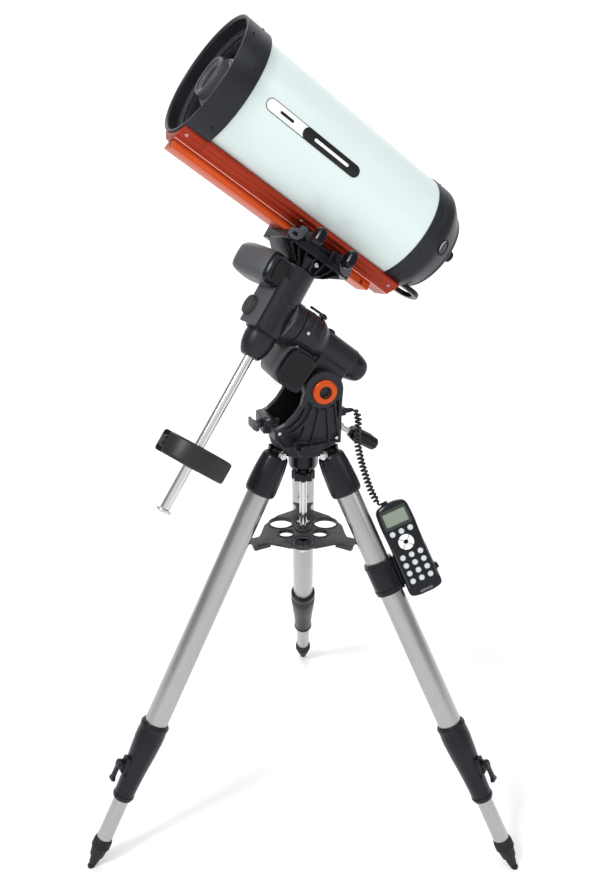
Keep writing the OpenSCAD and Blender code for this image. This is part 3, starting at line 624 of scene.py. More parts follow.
def dovetail():
    def plate_outline(tube_r):
        side = [(NECK, PLATE_Z), (27, 163.8), (27.4, 165.6), (29.6, 165.4), (38, 171.2), (38.4, 173),
                (40.6, 172.9),
                (WING, 178), (WING, 183), (WING - 1.2, 184)]
        arc = [(y, TUBE_REACH - math.sqrt(tube_r ** 2 - y * y)) for y in np.linspace(45, -45, 19)]
        return side + arc + [(-y, z) for y, z in reversed(side)]

    # the plate takes the darker copy of the orange, painted shade; the foot takes the orange itself
    plate = Piece("dovetail_plate", DEC).place(PROFILE_X)
    plate.slab(plate_outline(TUBE_R + 2.2), -192, FRONT_X - CELL - 0.4, 0.5)
    plate.slab(plate_outline(FRONT_R + 0.4), FRONT_X - CELL - 0.4, 348, 0.5)
    plate.done("telescope", shaded_orange, "dovetail_bar", "orange_anodised", smooth=25)
    foot = Piece("dovetail_foot", DEC).place(PROFILE_X)
    slope = 4 / 17.6
    foot.slab([(-FOOT_W, FOOT_Z), (FOOT_W, FOOT_Z), (FOOT_W - 17 * slope, PLATE_Z + 0.4),
               (-FOOT_W + 17 * slope, PLATE_Z + 0.4)], -148, 342, 0.7)
    slot = Piece("foot_slot", DEC)
    slot.box((7, 14, 9), (-126, FOOT_W - 1, 150), 0)
    slot.place(ALONG_X).rod(3.4, 330, 346, 0, 24)
    slot.place(move(342, 0, 151) @ ALONG_X).rod(3.6, -8, 4, 0, 24)
    foot.done("telescope", orange, slot="orange_anodised", smooth=25, cut=slot)
    bolts = Piece("dovetail_screws", DEC)
    for x in (-176, -60, 60, 334):
        for y in (-38, 38):
            z = PLATE_Z + 17.9 * (abs(y) - NECK) / (WING - NECK)
            bolts.place(move(x, y, z) @ turn(180 + math.copysign(33, y), "X")).screw(0, 0, -1.2, 3.2)
    bolts.done("telescope", zinc, slot="steel_bolt")
    # a light strip along each edge of the plate's neck: a painted highlight of the lit edge
    edge = Piece("dovetail_painted_highlight_line", DEC).place(PROFILE_X)
    for s in (-1, 1):
        edge.slab([(s * (NECK + 0.2), PLATE_Z - 0.7), (s * (NECK + 2.4), PLATE_Z + 0.7),
                   (s * (NECK + 2), PLATE_Z + 1.6),
                   (s * (NECK - 0.5), PLATE_Z + 0.4)], -191, 347, 0.2)
    edge.done("telescope", painted_highlight_edge, slot="orange_anodised", smooth=25)


def paddle(w, h, c):
    """Outline of a bar with its four corners cut off."""
    x, y = w / 2, h / 2
    return [(x - c, -y), (x, -y + c), (x, y - c), (x - c, y), (-x + c, y), (-x, y - c), (-x, -y + c),
            (-x + c, -y)]


def scaled(points, s):
    return [(x * s, y * s) for x, y in points]


def saddle_group():
    front = turn(90, "X")
    cast = Piece("saddle_casting", DEC)
    cast.lathe([(0, 100.5), (38, 100.5), (38.6, 103), (44, 122.5), (0, 122.5)], 64)
    cast.slab(rounded([(-80, -46), (80, -46), (80, 56), (-80, 56)], [10, 10, 6, 6]), 126, 142, 2.0)
    cast.place(PROFILE_X).slab([(-46, 124), (-46, 156), (-43, 159), (-19.6, 159), (-23.2, 142.4), (-23.2, 124)],
                               -80, 80, 1.4)
    cast.place(move(0, 32, 0) @ front).slab([(-40, 104), (40, 104), (78, 127), (-78, 127)], 0, 64, 1.5)
    for x in (-40, 40):
        cast.place(move(x, 0, 0)).box((36, 11, 34), (0, 51, 142), 2.5)
    for x0, x1 in ((-66, -34), (-46, -26), (46, 26), (66, 34), (-24, -15), (24, 15), (0, 0)):
        cast.place(move(0, 48, 0) @ front).slab(
            [(x0 - 2.6, 130), (x1 - 1.8, 100.6), (x1 + 1.8, 100.6), (x0 + 2.6, 130)], 0, 96, 0.8)
    cuts = Piece("saddle_cuts", DEC)
    cuts.place(PROFILE_X).slab([(-22.7, 142.6), (22.7, 142.6), (18.6, 161), (-18.6, 161)], -90, 90, 0)
    for x in (-40, 40):
        cuts.place(move(x, 0, 150) @ ALONG_Y).rod(4.06, 30, 70, 0, 24)
    cast.place().lathe([(0, -38), (15.9, -38), (15.9, 104), (0, 104)], 48)
    cast.done("saddle", black_cast, "saddle", "charcoal_cast", smooth=40, cast=(0.9, 1), cut=cuts)

    plate = Piece("saddle_front_plate", DEC).place(move(0, 59, 0) @ front)
    plate.slab([(45, 158), (52, 163), (63, 160), (64, 152), (80, 146), (81, 134), (72, 128), (58, 131),
                (50, 140)],
               0, 4.5, 1.0, [[(60, 136), (74, 136), (71, 143), (62, 143)]])
    plate.slab([(-45, 158), (-52, 161), (-63, 158), (-76, 144), (-78, 134), (-70, 128), (-56, 131), (-48, 140)],
               0, 4.5, 1.0)
    plate.done("saddle", blue_grey, slot="charcoal_cast", smooth=30)
    detail = Piece("saddle_screws", DEC).place(move(-8, 49, 116) @ ALONG_Y)
    detail.screw(0, 0, 0, 4.2)
    for x in (-70, 70):
        detail.place(move(x, -46, 141) @ turn(90, "X")).screw(0, 0, 0, 3)
    detail.done("saddle", zinc, slot="steel_bolt")

    jaw = Piece("saddle_jaw_block", DEC).place(PROFILE_X)
    jaw.slab([(22.9, 142.6), (36, 142.6), (36, 157), (34.5, 158.8), (19.3, 158.8)], -62, 62, 0.8)
    jaw.done("saddle_jaw", black_cast, "saddle_jaw", "black_cast", smooth=30)
    for name, x in (("front", 40), ("rear", -40)):
        body = "saddle_knob_" + name
        at = DEC @ move(x, 0, 150) @ ALONG_Y
        stem = Piece(body + "_stem", at)
        stem.rod(4, 36.4, 58, 0.4, 32)
        stem.lathe(rounded([(0, 56.6), (7.4, 56.6), (8.6, 62), (9.6, 82), (9.6, 86), (0, 86)],
                           [0, 1.2, 2, 1, 0.6, 0]), 40)
        for k in range(10):
            stem.place(turn(36 * k, "Z")).box((1.6, 2.2, 20), (8.6, 0, 71), 0.6, 1)
        stem.done(body, grey_plastic, slot="grey_plastic")
        cap = Piece(body + "_cap", at)
        shape = rounded(paddle(21, 38, 7), 1.6, 3)
        cap.loft([(scaled(shape, 0.62), 82.5), (scaled(shape, 0.92), 88), (shape, 92), (shape, 104),
                  (scaled(shape, 0.9), 109), (scaled(shape, 0.66), 112)])
        cap.done(body, black_plastic, body, "black_plastic", smooth=24)


# ------------------------------------------------------------------ declination head
def dec_group():
    body = "declination_head"
    cast = Piece("dec_casting", RA)
    cast.lathe([(0, -46), (37.2, -46), (38, -44), (38, 98), (37, 100), (0, 100)], 96)
    cast.place(ALONG_X).lathe([(0, -49), (45, -49), (47, -47), (47, -29), (45.6, -27), (30, -24), (0, -24)], 96)
    cast.place(turn(18, "Z")).box((20, 50, 112), (36, 2, 12), 4, 3)
    cast.place().lathe([(38, 22), (39.6, 22), (39.6, 27), (38, 27)], 96, closed=True)
    holes = Piece("dec_bores", RA)
    holes.rod(16.05, -40, 120, 0, 64)
    cast.done(body, charcoal, "dec_housing", "charcoal_cast", smooth=40, cast=(1.1, 3), cut=holes)
    shaft = Piece("polar_shaft", RA @ ALONG_X)
    shaft.rod(16, -159, -30, 0.6)
    shaft.done(body, drawn_steel, slot="steel_tube")

    disc = Piece("dec_flange_plate", RA @ ALONG_X)
    disc.rod(45.4, -27, -24.2, 0.8, 96)
    disc.done(body, blue_grey, slot="grey_plastic", smooth=30)
    spot = Piece("dec_flange_hole", RA @ move(0, 38.2, -4) @ ALONG_X)
    spot.ring(4.4, 2.2, -25.2, -23.8, 0.4, 32)
    spot.rod(2.4, -25.2, -24.3, 0.1, 24)
    spot.done(body, matt_black, slot="black_plastic")

    # a lighter blue-grey panel on the head's lit left face: a painted highlight
    panel = Piece("dec_side_painted_highlight_panel", RA @ turn(18, "Z"))
    panel.place(move(45.5, 0, 0) @ PROFILE_X).slab(
        rounded([(-24, -46), (25, -46), (25, 46), (-24, 46)], 4), 0, 2.6, 0.9)
    panel.done(body, blue_grey, slot="grey_plastic", smooth=30)
    # a black strip along the panel's right edge: painted shade where the head turns away from the light
    ridge = Piece("dec_side_painted_shade_line", RA @ turn(18, "Z"))
    ridge.box((6, 2.6, 98), (45.4, 25.6, 0), 0.8, 1)
    ridge.done(body, matt_black, slot="black_plastic")

    oval = Piece("dec_clutch_oval", RA @ move(0, 0, -12) @ ALONG_X)
    shape = ellipse(20.5, 15.5, 64)
    oval.loft([(scaled(shape, 0.96), 46.4), (shape, 48.5), (shape, 56), (scaled(shape, 0.93), 59.2),
               (scaled(shape, 0.84), 60.4)])
    for k in range(-7, 8):
        reach = 15.5 * 0.80 * math.sqrt(1 - (k / 8) ** 2)
        oval.box((1.2, 2 * reach, 1.4), (2.25 * k, 0, 60.4), 0.4, 1)
    oval.done("dec_clutch", dark_rubber, "dec_clutch_knob", "charcoal_cast", smooth=30)

    # motor cover: a capsule that lies across the head, a lid at its near end
    across = RA @ move(69, -3, 66) @ turn(27, "Z") @ turn(90, "X")
    shape = rounded([(-30, -33), (30, -33), (33, 0), (30, 33), (-30, 33), (-33, 0)], [26, 26, 10, 26, 26, 10],
                    6)
    cover = Piece("dec_motor_body", across)
    cover.loft([(scaled(shape, 0.62), 54), (scaled(shape, 0.80), 50), (scaled(shape, 0.92), 40),
                (scaled(shape, 0.99), 22),
                (scaled(shape, 1.0), 0), (scaled(shape, 0.985), -24), (scaled(shape, 0.95), -36)])
    bore = Piece("dec_motor_bore", RA)
    bore.rod(38.3, -50, 160, 0, 96)
    cover.done(body, light_plastic, "dec_motor_cover", "grey_plastic", smooth=40, cut=bore)
    lid = Piece("dec_motor_lid", across)
    lid.loft([(scaled(shape, 0.955), -35), (scaled(shape, 0.965), -38), (scaled(shape, 0.93), -44),
              (scaled(shape, 0.84), -50), (scaled(shape, 0.80), -51.5), (scaled(shape, 0.74), -50.6)])
    bore = Piece("dec_lid_bore", RA)
    bore.rod(38.3, -50, 160, 0, 96)
    lid.done(body, black_plastic, slot="black_plastic", smooth=30, cut=bore)
    seam = Piece("dec_motor_trim", across)
    seam.loft([(scaled(shape, 0.66), -52.0), (scaled(shape, 0.70), -51.4), (scaled(shape, 0.70), -49)])
    seam.done(body, matt_black, slot="black_plastic", smooth=30)

    cone = Piece("dec_lower_cone", RA)
    cone.lathe(rounded([(0, -46), (31, -46), (31.6, -50), (32.4, -56), (31.6, -66), (29, -80), (24, -91),
                        (20, -97),
                        (17.5, -98.5), (10.3, -98.5), (10.3, -60), (0, -60)],
                       [0, 1, 2, 3, 4, 4, 4, 2, 1.5, 0.5, 0, 0], 4), 96)
    cone.done(body, charcoal, "shaft_collar", "charcoal_cast", smooth=35)
    lip = Piece("dec_lip", RA)
    lip.ring(34, 26, -48.6, -45.4, 0.8, 96)
    lip.done(body, black_cast, slot="charcoal_cast", smooth=30)

    bar = Piece("counterweight_bar", RA)
    bar.lathe(rounded([(0, -438), (9, -438), (10, -436.5), (10, -46), (0, -46)], [0, 0.6, 0.6, 0, 0]), 64)
    bar.done(body, polished, "counterweight_shaft", "chrome_bar", smooth=35)
    stop = Piece("bar_stop", RA)
    stop.lathe(rounded([(0, -443.6), (15, -443.6), (15, -438), (0, -438)], [0, 1.6, 0.8, 0]), 48)
    stop.lathe(rounded([(0, -445.4), (7.5, -445.4), (8, -443), (0, -443)], [0, 0.8, 0, 0]), 40)
    for k in range(24):
        stop.place(turn(15 * k, "Z")).box((0.9, 1.6, 4.4), (15, 0, -440.8), 0.3, 1)
    stop.done(body, zinc, "toe_stop", "steel_bolt")


def weight_group():
    weight = Piece("counterweight_disc", RA @ move(0, 0, -WEIGHT_AT))
    r, t = WEIGHT_R, WEIGHT_T / 2
    weight.lathe(rounded([(10.1, -t), (r, -t), (r, t), (10.1, t)], [1, 6.5, 6.5, 1], 6), 160, closed=True)
    notch = Piece("weight_notch", RA @ move(0, 0, -WEIGHT_AT))
    notch.slab(rounded([(r - 16, -15), (r + 30, -15), (r + 30, 15), (r - 16, 15)], [4, 0, 0, 4]), -60, 60, 0)
    notch.place(ALONG_X).rod(5.06, 4, 90, 0, 24)
    weight.done("weight", charcoal_iron, "counterweight", "charcoal_iron", smooth=35, cut=notch)
    rings = Piece("weight_faces", RA @ move(0, 0, -WEIGHT_AT))
    for s in (-1, 1):
        rings.place(Matrix.Diagonal((1, 1, s, 1))).ring(20, 14, t - 0.4, t + 0.7, 0.4, 64)
    rings.done("weight", black_cast, slot="charcoal_iron", smooth=30)
    knob = Piece("weight_lock_knob", RA @ move(0, 0, -WEIGHT_AT) @ ALONG_X)
    knob.rod(5, 11, 62, 0.4, 24)
    knob.lathe(rounded([(0, r - 15), (10, r - 15), (12.6, r - 12), (12.6, r - 2), (11, r), (0, r)],
                       [0, 2, 1, 1.5, 1, 0]), 48)
    for k in range(12):
        knob.place(turn(30 * k, "Z")).box((1.8, 3, 10), (12.2, 0, r - 7), 0.6, 1)
    knob.done("weight_knob", black_plastic, "counterweight_knob", "black_plastic")


# ------------------------------------------------------------------ polar head
def polar_group():
    body = "polar_head"
    cast = Piece("polar_casting", LAT)
    cast.place(move(0, 0, AXIS_UP) @ ALONG_X).lathe(
        rounded([(0, -41.8), (32.6, -41.8), (35.4, 40), (37, 46), (45, 58), (46, 64), (46, 100), (45, 110.6),
                 (0, 110.6)],
                [0, 1, 4, 4, 4, 3, 2, 2, 0]), 96)
    cast.place(ALONG_Y).rod(34, -45.8, 45.8, 2, 64)
    cast.place().box((74, 72, 66), (3, 0, 26), 7, 3)
    cast.box((64, 58, 62), (60, 0, 30), 7, 3)
    cast.place(move(33, 0, 105) @ turn(8, "Y")).ball((22, 20, 14), (0, 0, 0))
    for x in (64, 86):
        cast.place(move(x, 0, AXIS_UP) @ ALONG_X).ring(47, 40, 0, 2.6, 0.6, 96)
    shaft_hole = Piece("polar_bore", LAT @ move(0, 0, AXIS_UP) @ ALONG_X)
    shaft_hole.rod(16.05, -60, 160, 0, 64)
    cast.done(body, charcoal, "polar_housing", "charcoal_cast", smooth=40, cast=(1.2, 3), cut=shaft_hole)

    pins = Piece("tilt_pins", LAT)
    pins.place(ALONG_Y).rod(9.95, -60.8, 60.8, 0.8)
    pins.done(body, matt_black, slot="black_plastic")
    ridge = Piece("polar_ribs", LAT)
    for a in (20, 28, 36):
        ridge.place(move(0, 0, AXIS_UP) @ turn(-a, "X")).box((34, 1.6, 1.4), (80, 46.0, 0), 0.5, 1)
    for a in (30, 75):
        ridge.place(move(0, 0, AXIS_UP) @ turn(-a, "X") @ move(0, 34.6, 0) @ turn(2, "Z")).box((70, 2.0, 1.2),
                                                                                               (0, 0, 0), 0.5,
                                                                                               1)
    ridge.done(body, charcoal, slot="charcoal_cast")
    screws = Piece("polar_screws", LAT)
    for x, a in ((95, 8), (95, -38), (66, -72)):
        screws.place(move(x, 0, AXIS_UP) @ turn(a, "X") @ move(0, 45.6, 0) @ ALONG_Y).screw(0, 0, 0, 3.6)
    screws.done(body, zinc, slot="steel_bolt")

    cap = Piece("polar_end_cap", LAT @ move(-80, 0, AXIS_UP) @ ALONG_X)
    cap.lathe(rounded([(0, 0), (19, 0), (25, 7), (29.5, 22), (31.6, 36), (32, 37.9), (0, 37.9)],
                      [0, 6, 8, 6, 1, 0.6, 0], 5), 96)
    cap.done(body, black_plastic, "polar_cap", "black_plastic", smooth=35)
    seam = Piece("polar_cap_seam", LAT @ move(-80, 0, AXIS_UP) @ ALONG_X)
    seam.ring(32.8, 28, 36.6, 39.4, 0.5, 96)
    seam.done(body, black_cast, slot="black_plastic", smooth=30)

    lever = Piece("ra_clutch_arm", LAT @ move(66, 0, AXIS_UP + 46.4))
    lever.rod(9, 0, 7, 1.4, 40)
    lever.slab(rounded([(-5, -5), (26, -4), (34, -5.5), (36, 0), (34, 5.5), (26, 4), (-5, 5)], 2.5), 3, 8.4,
               1.2)
    lever.lathe([(0, 7)] + rounded([(4, 7), (4, 9.4), (0, 9.4)], [0.2, 0.8, 0]), 32)
    lever.done("ra_clutch", black_plastic, "ra_clutch_lever", "black_plastic")

    # motor box: lighter bulged body and a darker lid on its near side; the lid's black is painted shade of the
    # box's darker right face
    side = LAT @ turn(90, "X")
    shape = rounded([(43, -36), (106, -36), (113, 6), (107, 44), (60, 46), (43, 40)], [10, 16, 26, 16, 8, 8], 6)
    mid = (75, 5)

    def shrink(s):
        return [(mid[0] + (x - mid[0]) * s, mid[1] + (y - mid[1]) * s) for x, y in shape]

    def clearance(name):
        cut = Piece(name, LAT)
        cut.place(move(0, 0, AXIS_UP) @ ALONG_X).rod(46.3, 20, 140, 0, 96)
        cut.place().box((61, 60.8, 60), (60, 0, 40), 0)
        return cut

    box = Piece("ra_motor_body", side)
    box.loft([(shrink(0.84), 46), (shrink(0.95), 43), (shrink(1.0), 36), (shape, -42), (shrink(0.985), -44)])
    box.done(body, light_plastic, "ra_motor_cover", "grey_plastic", smooth=35, cut=clearance("box_clearance"))
    # the near side coloured black: painted shade
    lid = Piece("ra_motor_painted_shade_side", side)
    lid.loft([(shrink(0.955), -43), (shrink(0.97), -46), (shrink(0.965), -52), (shrink(0.93), -56.5),
              (shrink(0.86), -58),
              (shrink(0.84), -58.2)])
    lid.done(body, black_plastic, slot="black_plastic", smooth=32, cut=clearance("lid_clearance"))
    groove = Piece("ra_motor_lid_panel", side)
    groove.loft([(shrink(0.70), -58.8), (shrink(0.74), -58.3), (shrink(0.74), -55)])
    groove.done(body, matt_black, slot="black_plastic", smooth=32, cut=clearance("panel_clearance"))


# ------------------------------------------------------------------ yoke, its screws and knobs
CHEEK_IN, CHEEK_OUT = 47, 61


def yoke_group():
    body = "azimuth_head"
    hub = [(HUB_X + 42 * math.cos(t), HUB_Z + 42 * math.sin(t)) for t in np.linspace(0, math.pi, 30)]
    outer = [(-60, 8), (66, 8), (84, 34), (84, 52), (60, 62), (40, 80), (27, 98)] + hub + [(-62, 100)]
    rim_hole = rounded([(-54, 14), (62, 14), (76, 36), (76, 48), (54, 58), (34, 76), (20, 98), (12, 106),
                        (-54, 106)], 5)
    cast = Piece("yoke_casting", AZ)
    cast.lathe([(9, 0), (68, 0), (70, 1.5), (70, 5), (67.5, 6.5), (67.5, 8), (72, 9.5), (72, 13), (70, 14.5),
                (9, 14.5)],
               128, closed=True)
    for s in (-1, 1):
        cast.place(Matrix.Diagonal((1, s, 1, 1)) @ turn(90, "X"))
        cast.slab(outer, -CHEEK_OUT, -CHEEK_IN, 1.2, [rim_hole])
        cast.slab(outer, -53, -CHEEK_IN, 0.5)
        cast.place(Matrix.Diagonal((1, s, 1, 1)) @ move(HUB_X, 0, HUB_Z) @ ALONG_Y)
        cast.lathe([(14.1, CHEEK_IN), (40, CHEEK_IN), (40, 55), (34, CHEEK_OUT), (14.1, CHEEK_OUT)], 96,
                   closed=True)
        for x0, z0, x1, z1 in ((-14, 90, 6, 10), (-30, 90, -34, 10), (0, 96, 34, 12), (-46, 96, -56, 12)):
            long = math.hypot(x1 - x0, z1 - z0)
            cast.place(Matrix.Diagonal((1, s, 1, 1)) @ move((x0 + x1) / 2, 53.4, (z0 + z1) / 2)
                       @ turn(-math.degrees(math.atan2(z1 - z0, x1 - x0)), "Y"))
            cast.box((long, 13, 4.2), (0, 0, 0), 1.2)
        for grow in (0, 9):
            arc = [(66 + grow * 0.4 - (62 - grow) * math.cos(t), 57.5,
                    102 + grow * 0.3 - (64 - grow) * math.sin(t))
                   for t in np.linspace(0.25, 1.35, 18)]
            cast.place(Matrix.Diagonal((1, s, 1, 1))).sweep(arc, 2.3, 8)
        cast.place().box((26, 8, 21), (32, s * 64, 14.4), 2)
    cast.place().box((18, 98, 26), (75, 0, 43), 2.2)
    cast.place(turn(90, "X")).slab([(66, 52), (84, 52), (92, 60), (92, 66), (82, 68), (66, 60)], -36, 36, 1.4)
    cast.place().box((11, 42, 36), (89, 0, 51), 2.5)
    cast.box((12, 98, 76), (-58, 0, 47), 2)
    for y in (-30, -12, 12, 30):
        cast.box((20, 4, 16), (60, y, 20), 1)
    cuts = Piece("yoke_bores", AZ)
    cuts.place(move(40, 0, 50) @ ALONG_X).rod(6.05, 0, 150, 0, 32)
    cuts.place(move(-64, 0, 30) @ turn(-122, "Y")).rod(6.05, -60, 30, 0, 32)
    cuts.place(move(32, 0, 14) @ ALONG_Y).rod(4.05, -150, 150, 0, 24)
    cast.done(body, charcoal, "azimuth_yoke", "charcoal_cast", smooth=38, cast=(1.3, 2), cut=cuts)
    holes = Piece("yoke_socket_screws", AZ)
    for x in (-50, 74):
        for s in (-1, 1):
            holes.place(move(x, s * 60.8, 20 if x < 0 else 46) @ turn(-90 * s, "X")).screw(0, 0, 0, 3.4)
    holes.done(body, zinc, slot="steel_bolt")

    hubs = Piece("hub_rings", AZ)
    for s in (-1, 1):
        hubs.place(Matrix.Diagonal((1, s, 1, 1)) @ move(HUB_X, 0, HUB_Z) @ ALONG_Y)
        hubs.lathe(rounded([(10.6, 48), (10.6, 66), (12.5, 68.6), (22, 68.6), (26, 66), (26, 61.2), (14, 61.2),
                            (14, 48)],
                           [0, 1, 1.6, 2, 2.5, 0.4, 0.2, 0], 4), 96, closed=True)
    hubs.done(body, orange, "latitude_hubs", "orange_anodised", smooth=40)
    dots = Piece("hub_plugs", AZ)
    for s in (-1, 1):
        dots.place(Matrix.Diagonal((1, s, 1, 1)) @ move(HUB_X, 0, HUB_Z) @ ALONG_Y).ring(13.4, 10.7, 66.4,
                                                                                         68.9, 0.5, 64)
    dots.done(body, matt_black, slot="black_plastic")

    knobs = Piece("azimuth_knob_caps", AZ @ move(32, 0, 14))
    thread = Piece("azimuth_threads", AZ @ move(32, 0, 14))
    for s in (-1, 1):
        knobs.place(turn(-90 * s, "X"))
        knobs.lathe(rounded([(0, 76), (8, 76), (9, 80), (13, 83), (13.6, 96), (11.5, 99.6), (0, 99.6)],
                            [0, 0.8, 1, 1, 1.5, 1, 0]), 48)
        for k in range(6):
            knobs.place(turn(-90 * s, "X") @ turn(60 * k, "Z")).box((3.6, 6, 15), (12.2, 0, 90), 1.4)
        thread.place(turn(-90 * s, "X")).rod(4, 24, 77, 0.4, 32)
        thread.lathe([(3.4, 62)] + [(4.0 if k % 2 else 3.5, 62 + 0.55 * k) for k in range(26)] + [(3.4, 76.5)],
                     24,
                     closed=True)
    knobs.done("azimuth_knobs", black_plastic, "azimuth_knobs", "black_plastic")
    thread.done("azimuth_knobs", zinc, slot="steel_bolt", smooth=60)

    tee = Piece("latitude_tee", AZ @ move(0, 0, 50))
    tee.place(ALONG_X).rod(5.9, 54, 108, 0.4, 32)
    tee.lathe(rounded([(0, 94.5), (8.6, 94.5), (9, 98), (7, 106), (0, 106)], [0, 0.8, 0.6, 1, 0]), 40)
    tee.place(move(0, 0, -6.5)).slab(
        rounded([(104, -8), (107, -14), (105, -27), (111, -28), (114.5, -15), (114.5, 15), (111, 28), (105, 27),
                 (107, 14), (104, 8)], 1.6), 0, 13, 1.6)
    tee.done("latitude_bolt", iron_grey, "latitude_bolt", "charcoal_cast")

    rear = Piece("latitude_screw", REAR_SCREW)
    rear.rod(6, -12, 56, 0.4, 32)
    rear.lathe(rounded([(0, 18), (9.2, 18), (9.2, 28), (0, 28)], [0, 0.8, 0.8, 0]), 6)
    rear.done("latitude_handle", zinc, slot="steel_bolt")
    grip = Piece("latitude_grip", REAR_SCREW)
    shape = rounded(paddle(28, 44, 8), 1.2, 2)
    grip.loft([(scaled(shape, 0.55), 49), (scaled(shape, 0.86), 54), (shape, 60), (shape, 106),
               (scaled(shape, 0.94), 113),
               (scaled(shape, 0.72), 118)])
    for x in (-6, 0, 6):
        for s in (-1, 1):
            grip.box((1.3, 1.2, 44), (x, s * 22, 83), 0.5, 1)
    for y in (-8, 0, 8):
        for s in (-1, 1):
            grip.box((1.2, 1.3, 44), (s * 14, y, 83), 0.5, 1)
    grip.done("latitude_handle", black_plastic, "latitude_handle", "black_plastic", smooth=24)


# ------------------------------------------------------------------ tripod
def tripod_group():
    top = Piece("tripod_top", STAND @ move(0, 0, HEAD_TOP))
    top.lathe(rounded([(8.1, -56), (28, -56), (28, -17), (62, -16), (64, -13), (64, -0.2), (8.1, -0.2)],
                      [0.5, 2, 3, 2, 1.5, 1.5, 0.5], 4), 128, closed=True)
    for name, a in LEGS.items():
        for s in (-1, 1):
            top.place(turn(a, "Z") @ move(PIVOT_R, s * 17, PIVOT_Z - HEAD_TOP) @ turn(90, "X"))
            top.slab([(-9, 13)] + [(9 * math.cos(t), 9 * math.sin(t)) for t in np.linspace(math.pi,
                                                                                           2 * math.pi, 16)]
                     + [(9, 13)], -5, 5, 1.2)
    slots = Piece("leg_slots", STAND @ move(0, 0, HEAD_TOP))
    for name, a in LEGS.items():
        slots.place(turn(a, "Z") @ move(PIVOT_R, 0, PIVOT_Z - HEAD_TOP) @ ALONG_Y).rod(10, -11.6, 11.6, 0, 32)
        slots.rod(5.05, -40, 40, 0, 24)
        slots.place(turn(a, "Z") @ move(PIVOT_R, 0, PIVOT_Z - HEAD_TOP)).box((21, 23.2, 12), (3, 0, -6), 0)
    top.done("tripod", black_cast, "tripod_head", "black_cast", smooth=38, cut=slots)
    bolts = Piece("pivot_bolt_heads", STAND)
    for name, a in LEGS.items():
        bolts.place(turn(a, "Z") @ move(PIVOT_R, 0, PIVOT_Z) @ ALONG_Y).rod(5, -23, 23, 0.3, 32)
        for s in (-1, 1):
            bolts.place(turn(a, "Z") @ move(PIVOT_R, 0, PIVOT_Z) @ turn(-90 * s, "X"))
            bolts.ring(9.6, 5, 22, 23.4, 0.3, 32)
            bolts.lathe(rounded([(0, 23.2), (8.4, 23.2), (8.4, 27.6), (7.2, 28.6), (0, 28.6)],
                                [0, 0.2, 0.8, 0.4, 0]), 6)
            bolts.lathe([(0, 28.4), (4.2, 28.4), (4.2, 30.4), (0, 30.8)], 24)
    bolts.done("tripod", zinc, "leg_pivot_bolts", "steel_bolt", smooth=30)

    rod = Piece("centre_rod_bar", STAND)
    rod.lathe(rounded([(0, 636), (7, 636), (8, 638), (8, 909), (7, 910), (0, 910)],
                      [0, 0.4, 0.4, 0.4, 0.4, 0]), 48)
    rod.done("tripod", polished, "centre_rod", "chrome_bar")
    knob = Piece("rod_knob_body", STAND @ move(0, 0, ROD_KNOB_Z))
    lobes = []
    for k in range(96):
        a = 2 * math.pi * k / 96
        lobes.append(((22.6 + 2.4 * math.cos(8 * a)) * math.cos(a),
                      (22.6 + 2.4 * math.cos(8 * a)) * math.sin(a)))
    bore = list(reversed(circle(8.1, 48)))
    knob.slab(lobes, 0, 18, 2.2, [bore])
    knob.lathe(rounded([(8.1, 17), (17, 17), (15, 22), (14, 24), (8.1, 24)], [0, 1, 1, 1, 0]), 48, closed=True)
    knob.done("rod_knob", black_plastic, "rod_knob", "black_plastic", smooth=30)

    low_knob = Piece("tray_knob_body", STAND @ move(0, 0, TRAY_Z - 34))
    low_knob.slab([(x * 1.04, y * 1.04) for x, y in lobes], 4, 22, 2.2)
    low_knob.lathe(rounded([(0, 0), (13, 0), (14, 3), (14, 25), (0, 25)], [0, 2, 1, 0.5, 0]), 48)
    socket = Piece("tray_knob_bore", STAND)
    socket.rod(8.06, 635.4, 720, 0, 40)
    low_knob.done("tray_knob", black_plastic, "tray_knob", "black_plastic", smooth=30, cut=socket)
    tray_group()
    for name in LEGS:
        leg_group(name)


def tray_group():
    """A round plate with three forked arms, moulded with holes for eyepieces."""
    outline = []
    for a in (90, 210, 330):
        for radius, side in ((87, -42), (89, -27), (100, -15.5), (118, -17), (134, -23.5), (129, -12), (127, 0),
                             (129, 12), (134, 23.5), (118, 17), (100, 15.5), (89, 27), (87, 42)):
            if abs(side) < 40:
                outline += moved([(radius, side)], 0, 0, a)
            else:
                outline += moved([(87 * math.cos(math.radians(side)), 87 * math.sin(math.radians(side)))], 0,
                                 0, a)
    holes = [list(reversed(circle(8.1, 32)))]
    for a in (90, 210, 330):
        holes.append(list(reversed(moved(circle(16.6, 48), 42 * math.cos(math.radians(a)),
                                         42 * math.sin(math.radians(a))))))
        b = math.radians(a + 60)
        holes.append(list(reversed(moved(circle(25.4, 64), 56 * math.cos(b), 56 * math.sin(b)))))
    tray = Piece("tray_plate", STAND @ move(0, 0, TRAY_Z))
    tray.slab(outline, 0, 5, 0.9, holes)
    for a in (90, 210, 330):
        c, s = math.cos(math.radians(a)), math.sin(math.radians(a))
        tray.place(move(42 * c, 42 * s, 0)).ring(19, 16.6, -3, 6.4, 0.6, 48)
        tray.place(turn(a + 60, "Z") @ move(56, 0, 0)).ring(28, 25.4, -3, 6.4, 0.6, 64)
        for side in (-1, 1):
            tray.place(turn(a, "Z")).box((38, 3.4, 9), (108, 16 * side, -3.6), 0.8)
    tray.place().ring(17, 8.1, -8, 8, 0.8, 64)
    tray.done("tray", grey_plastic, "accessory_tray", "grey_plastic", smooth=30)


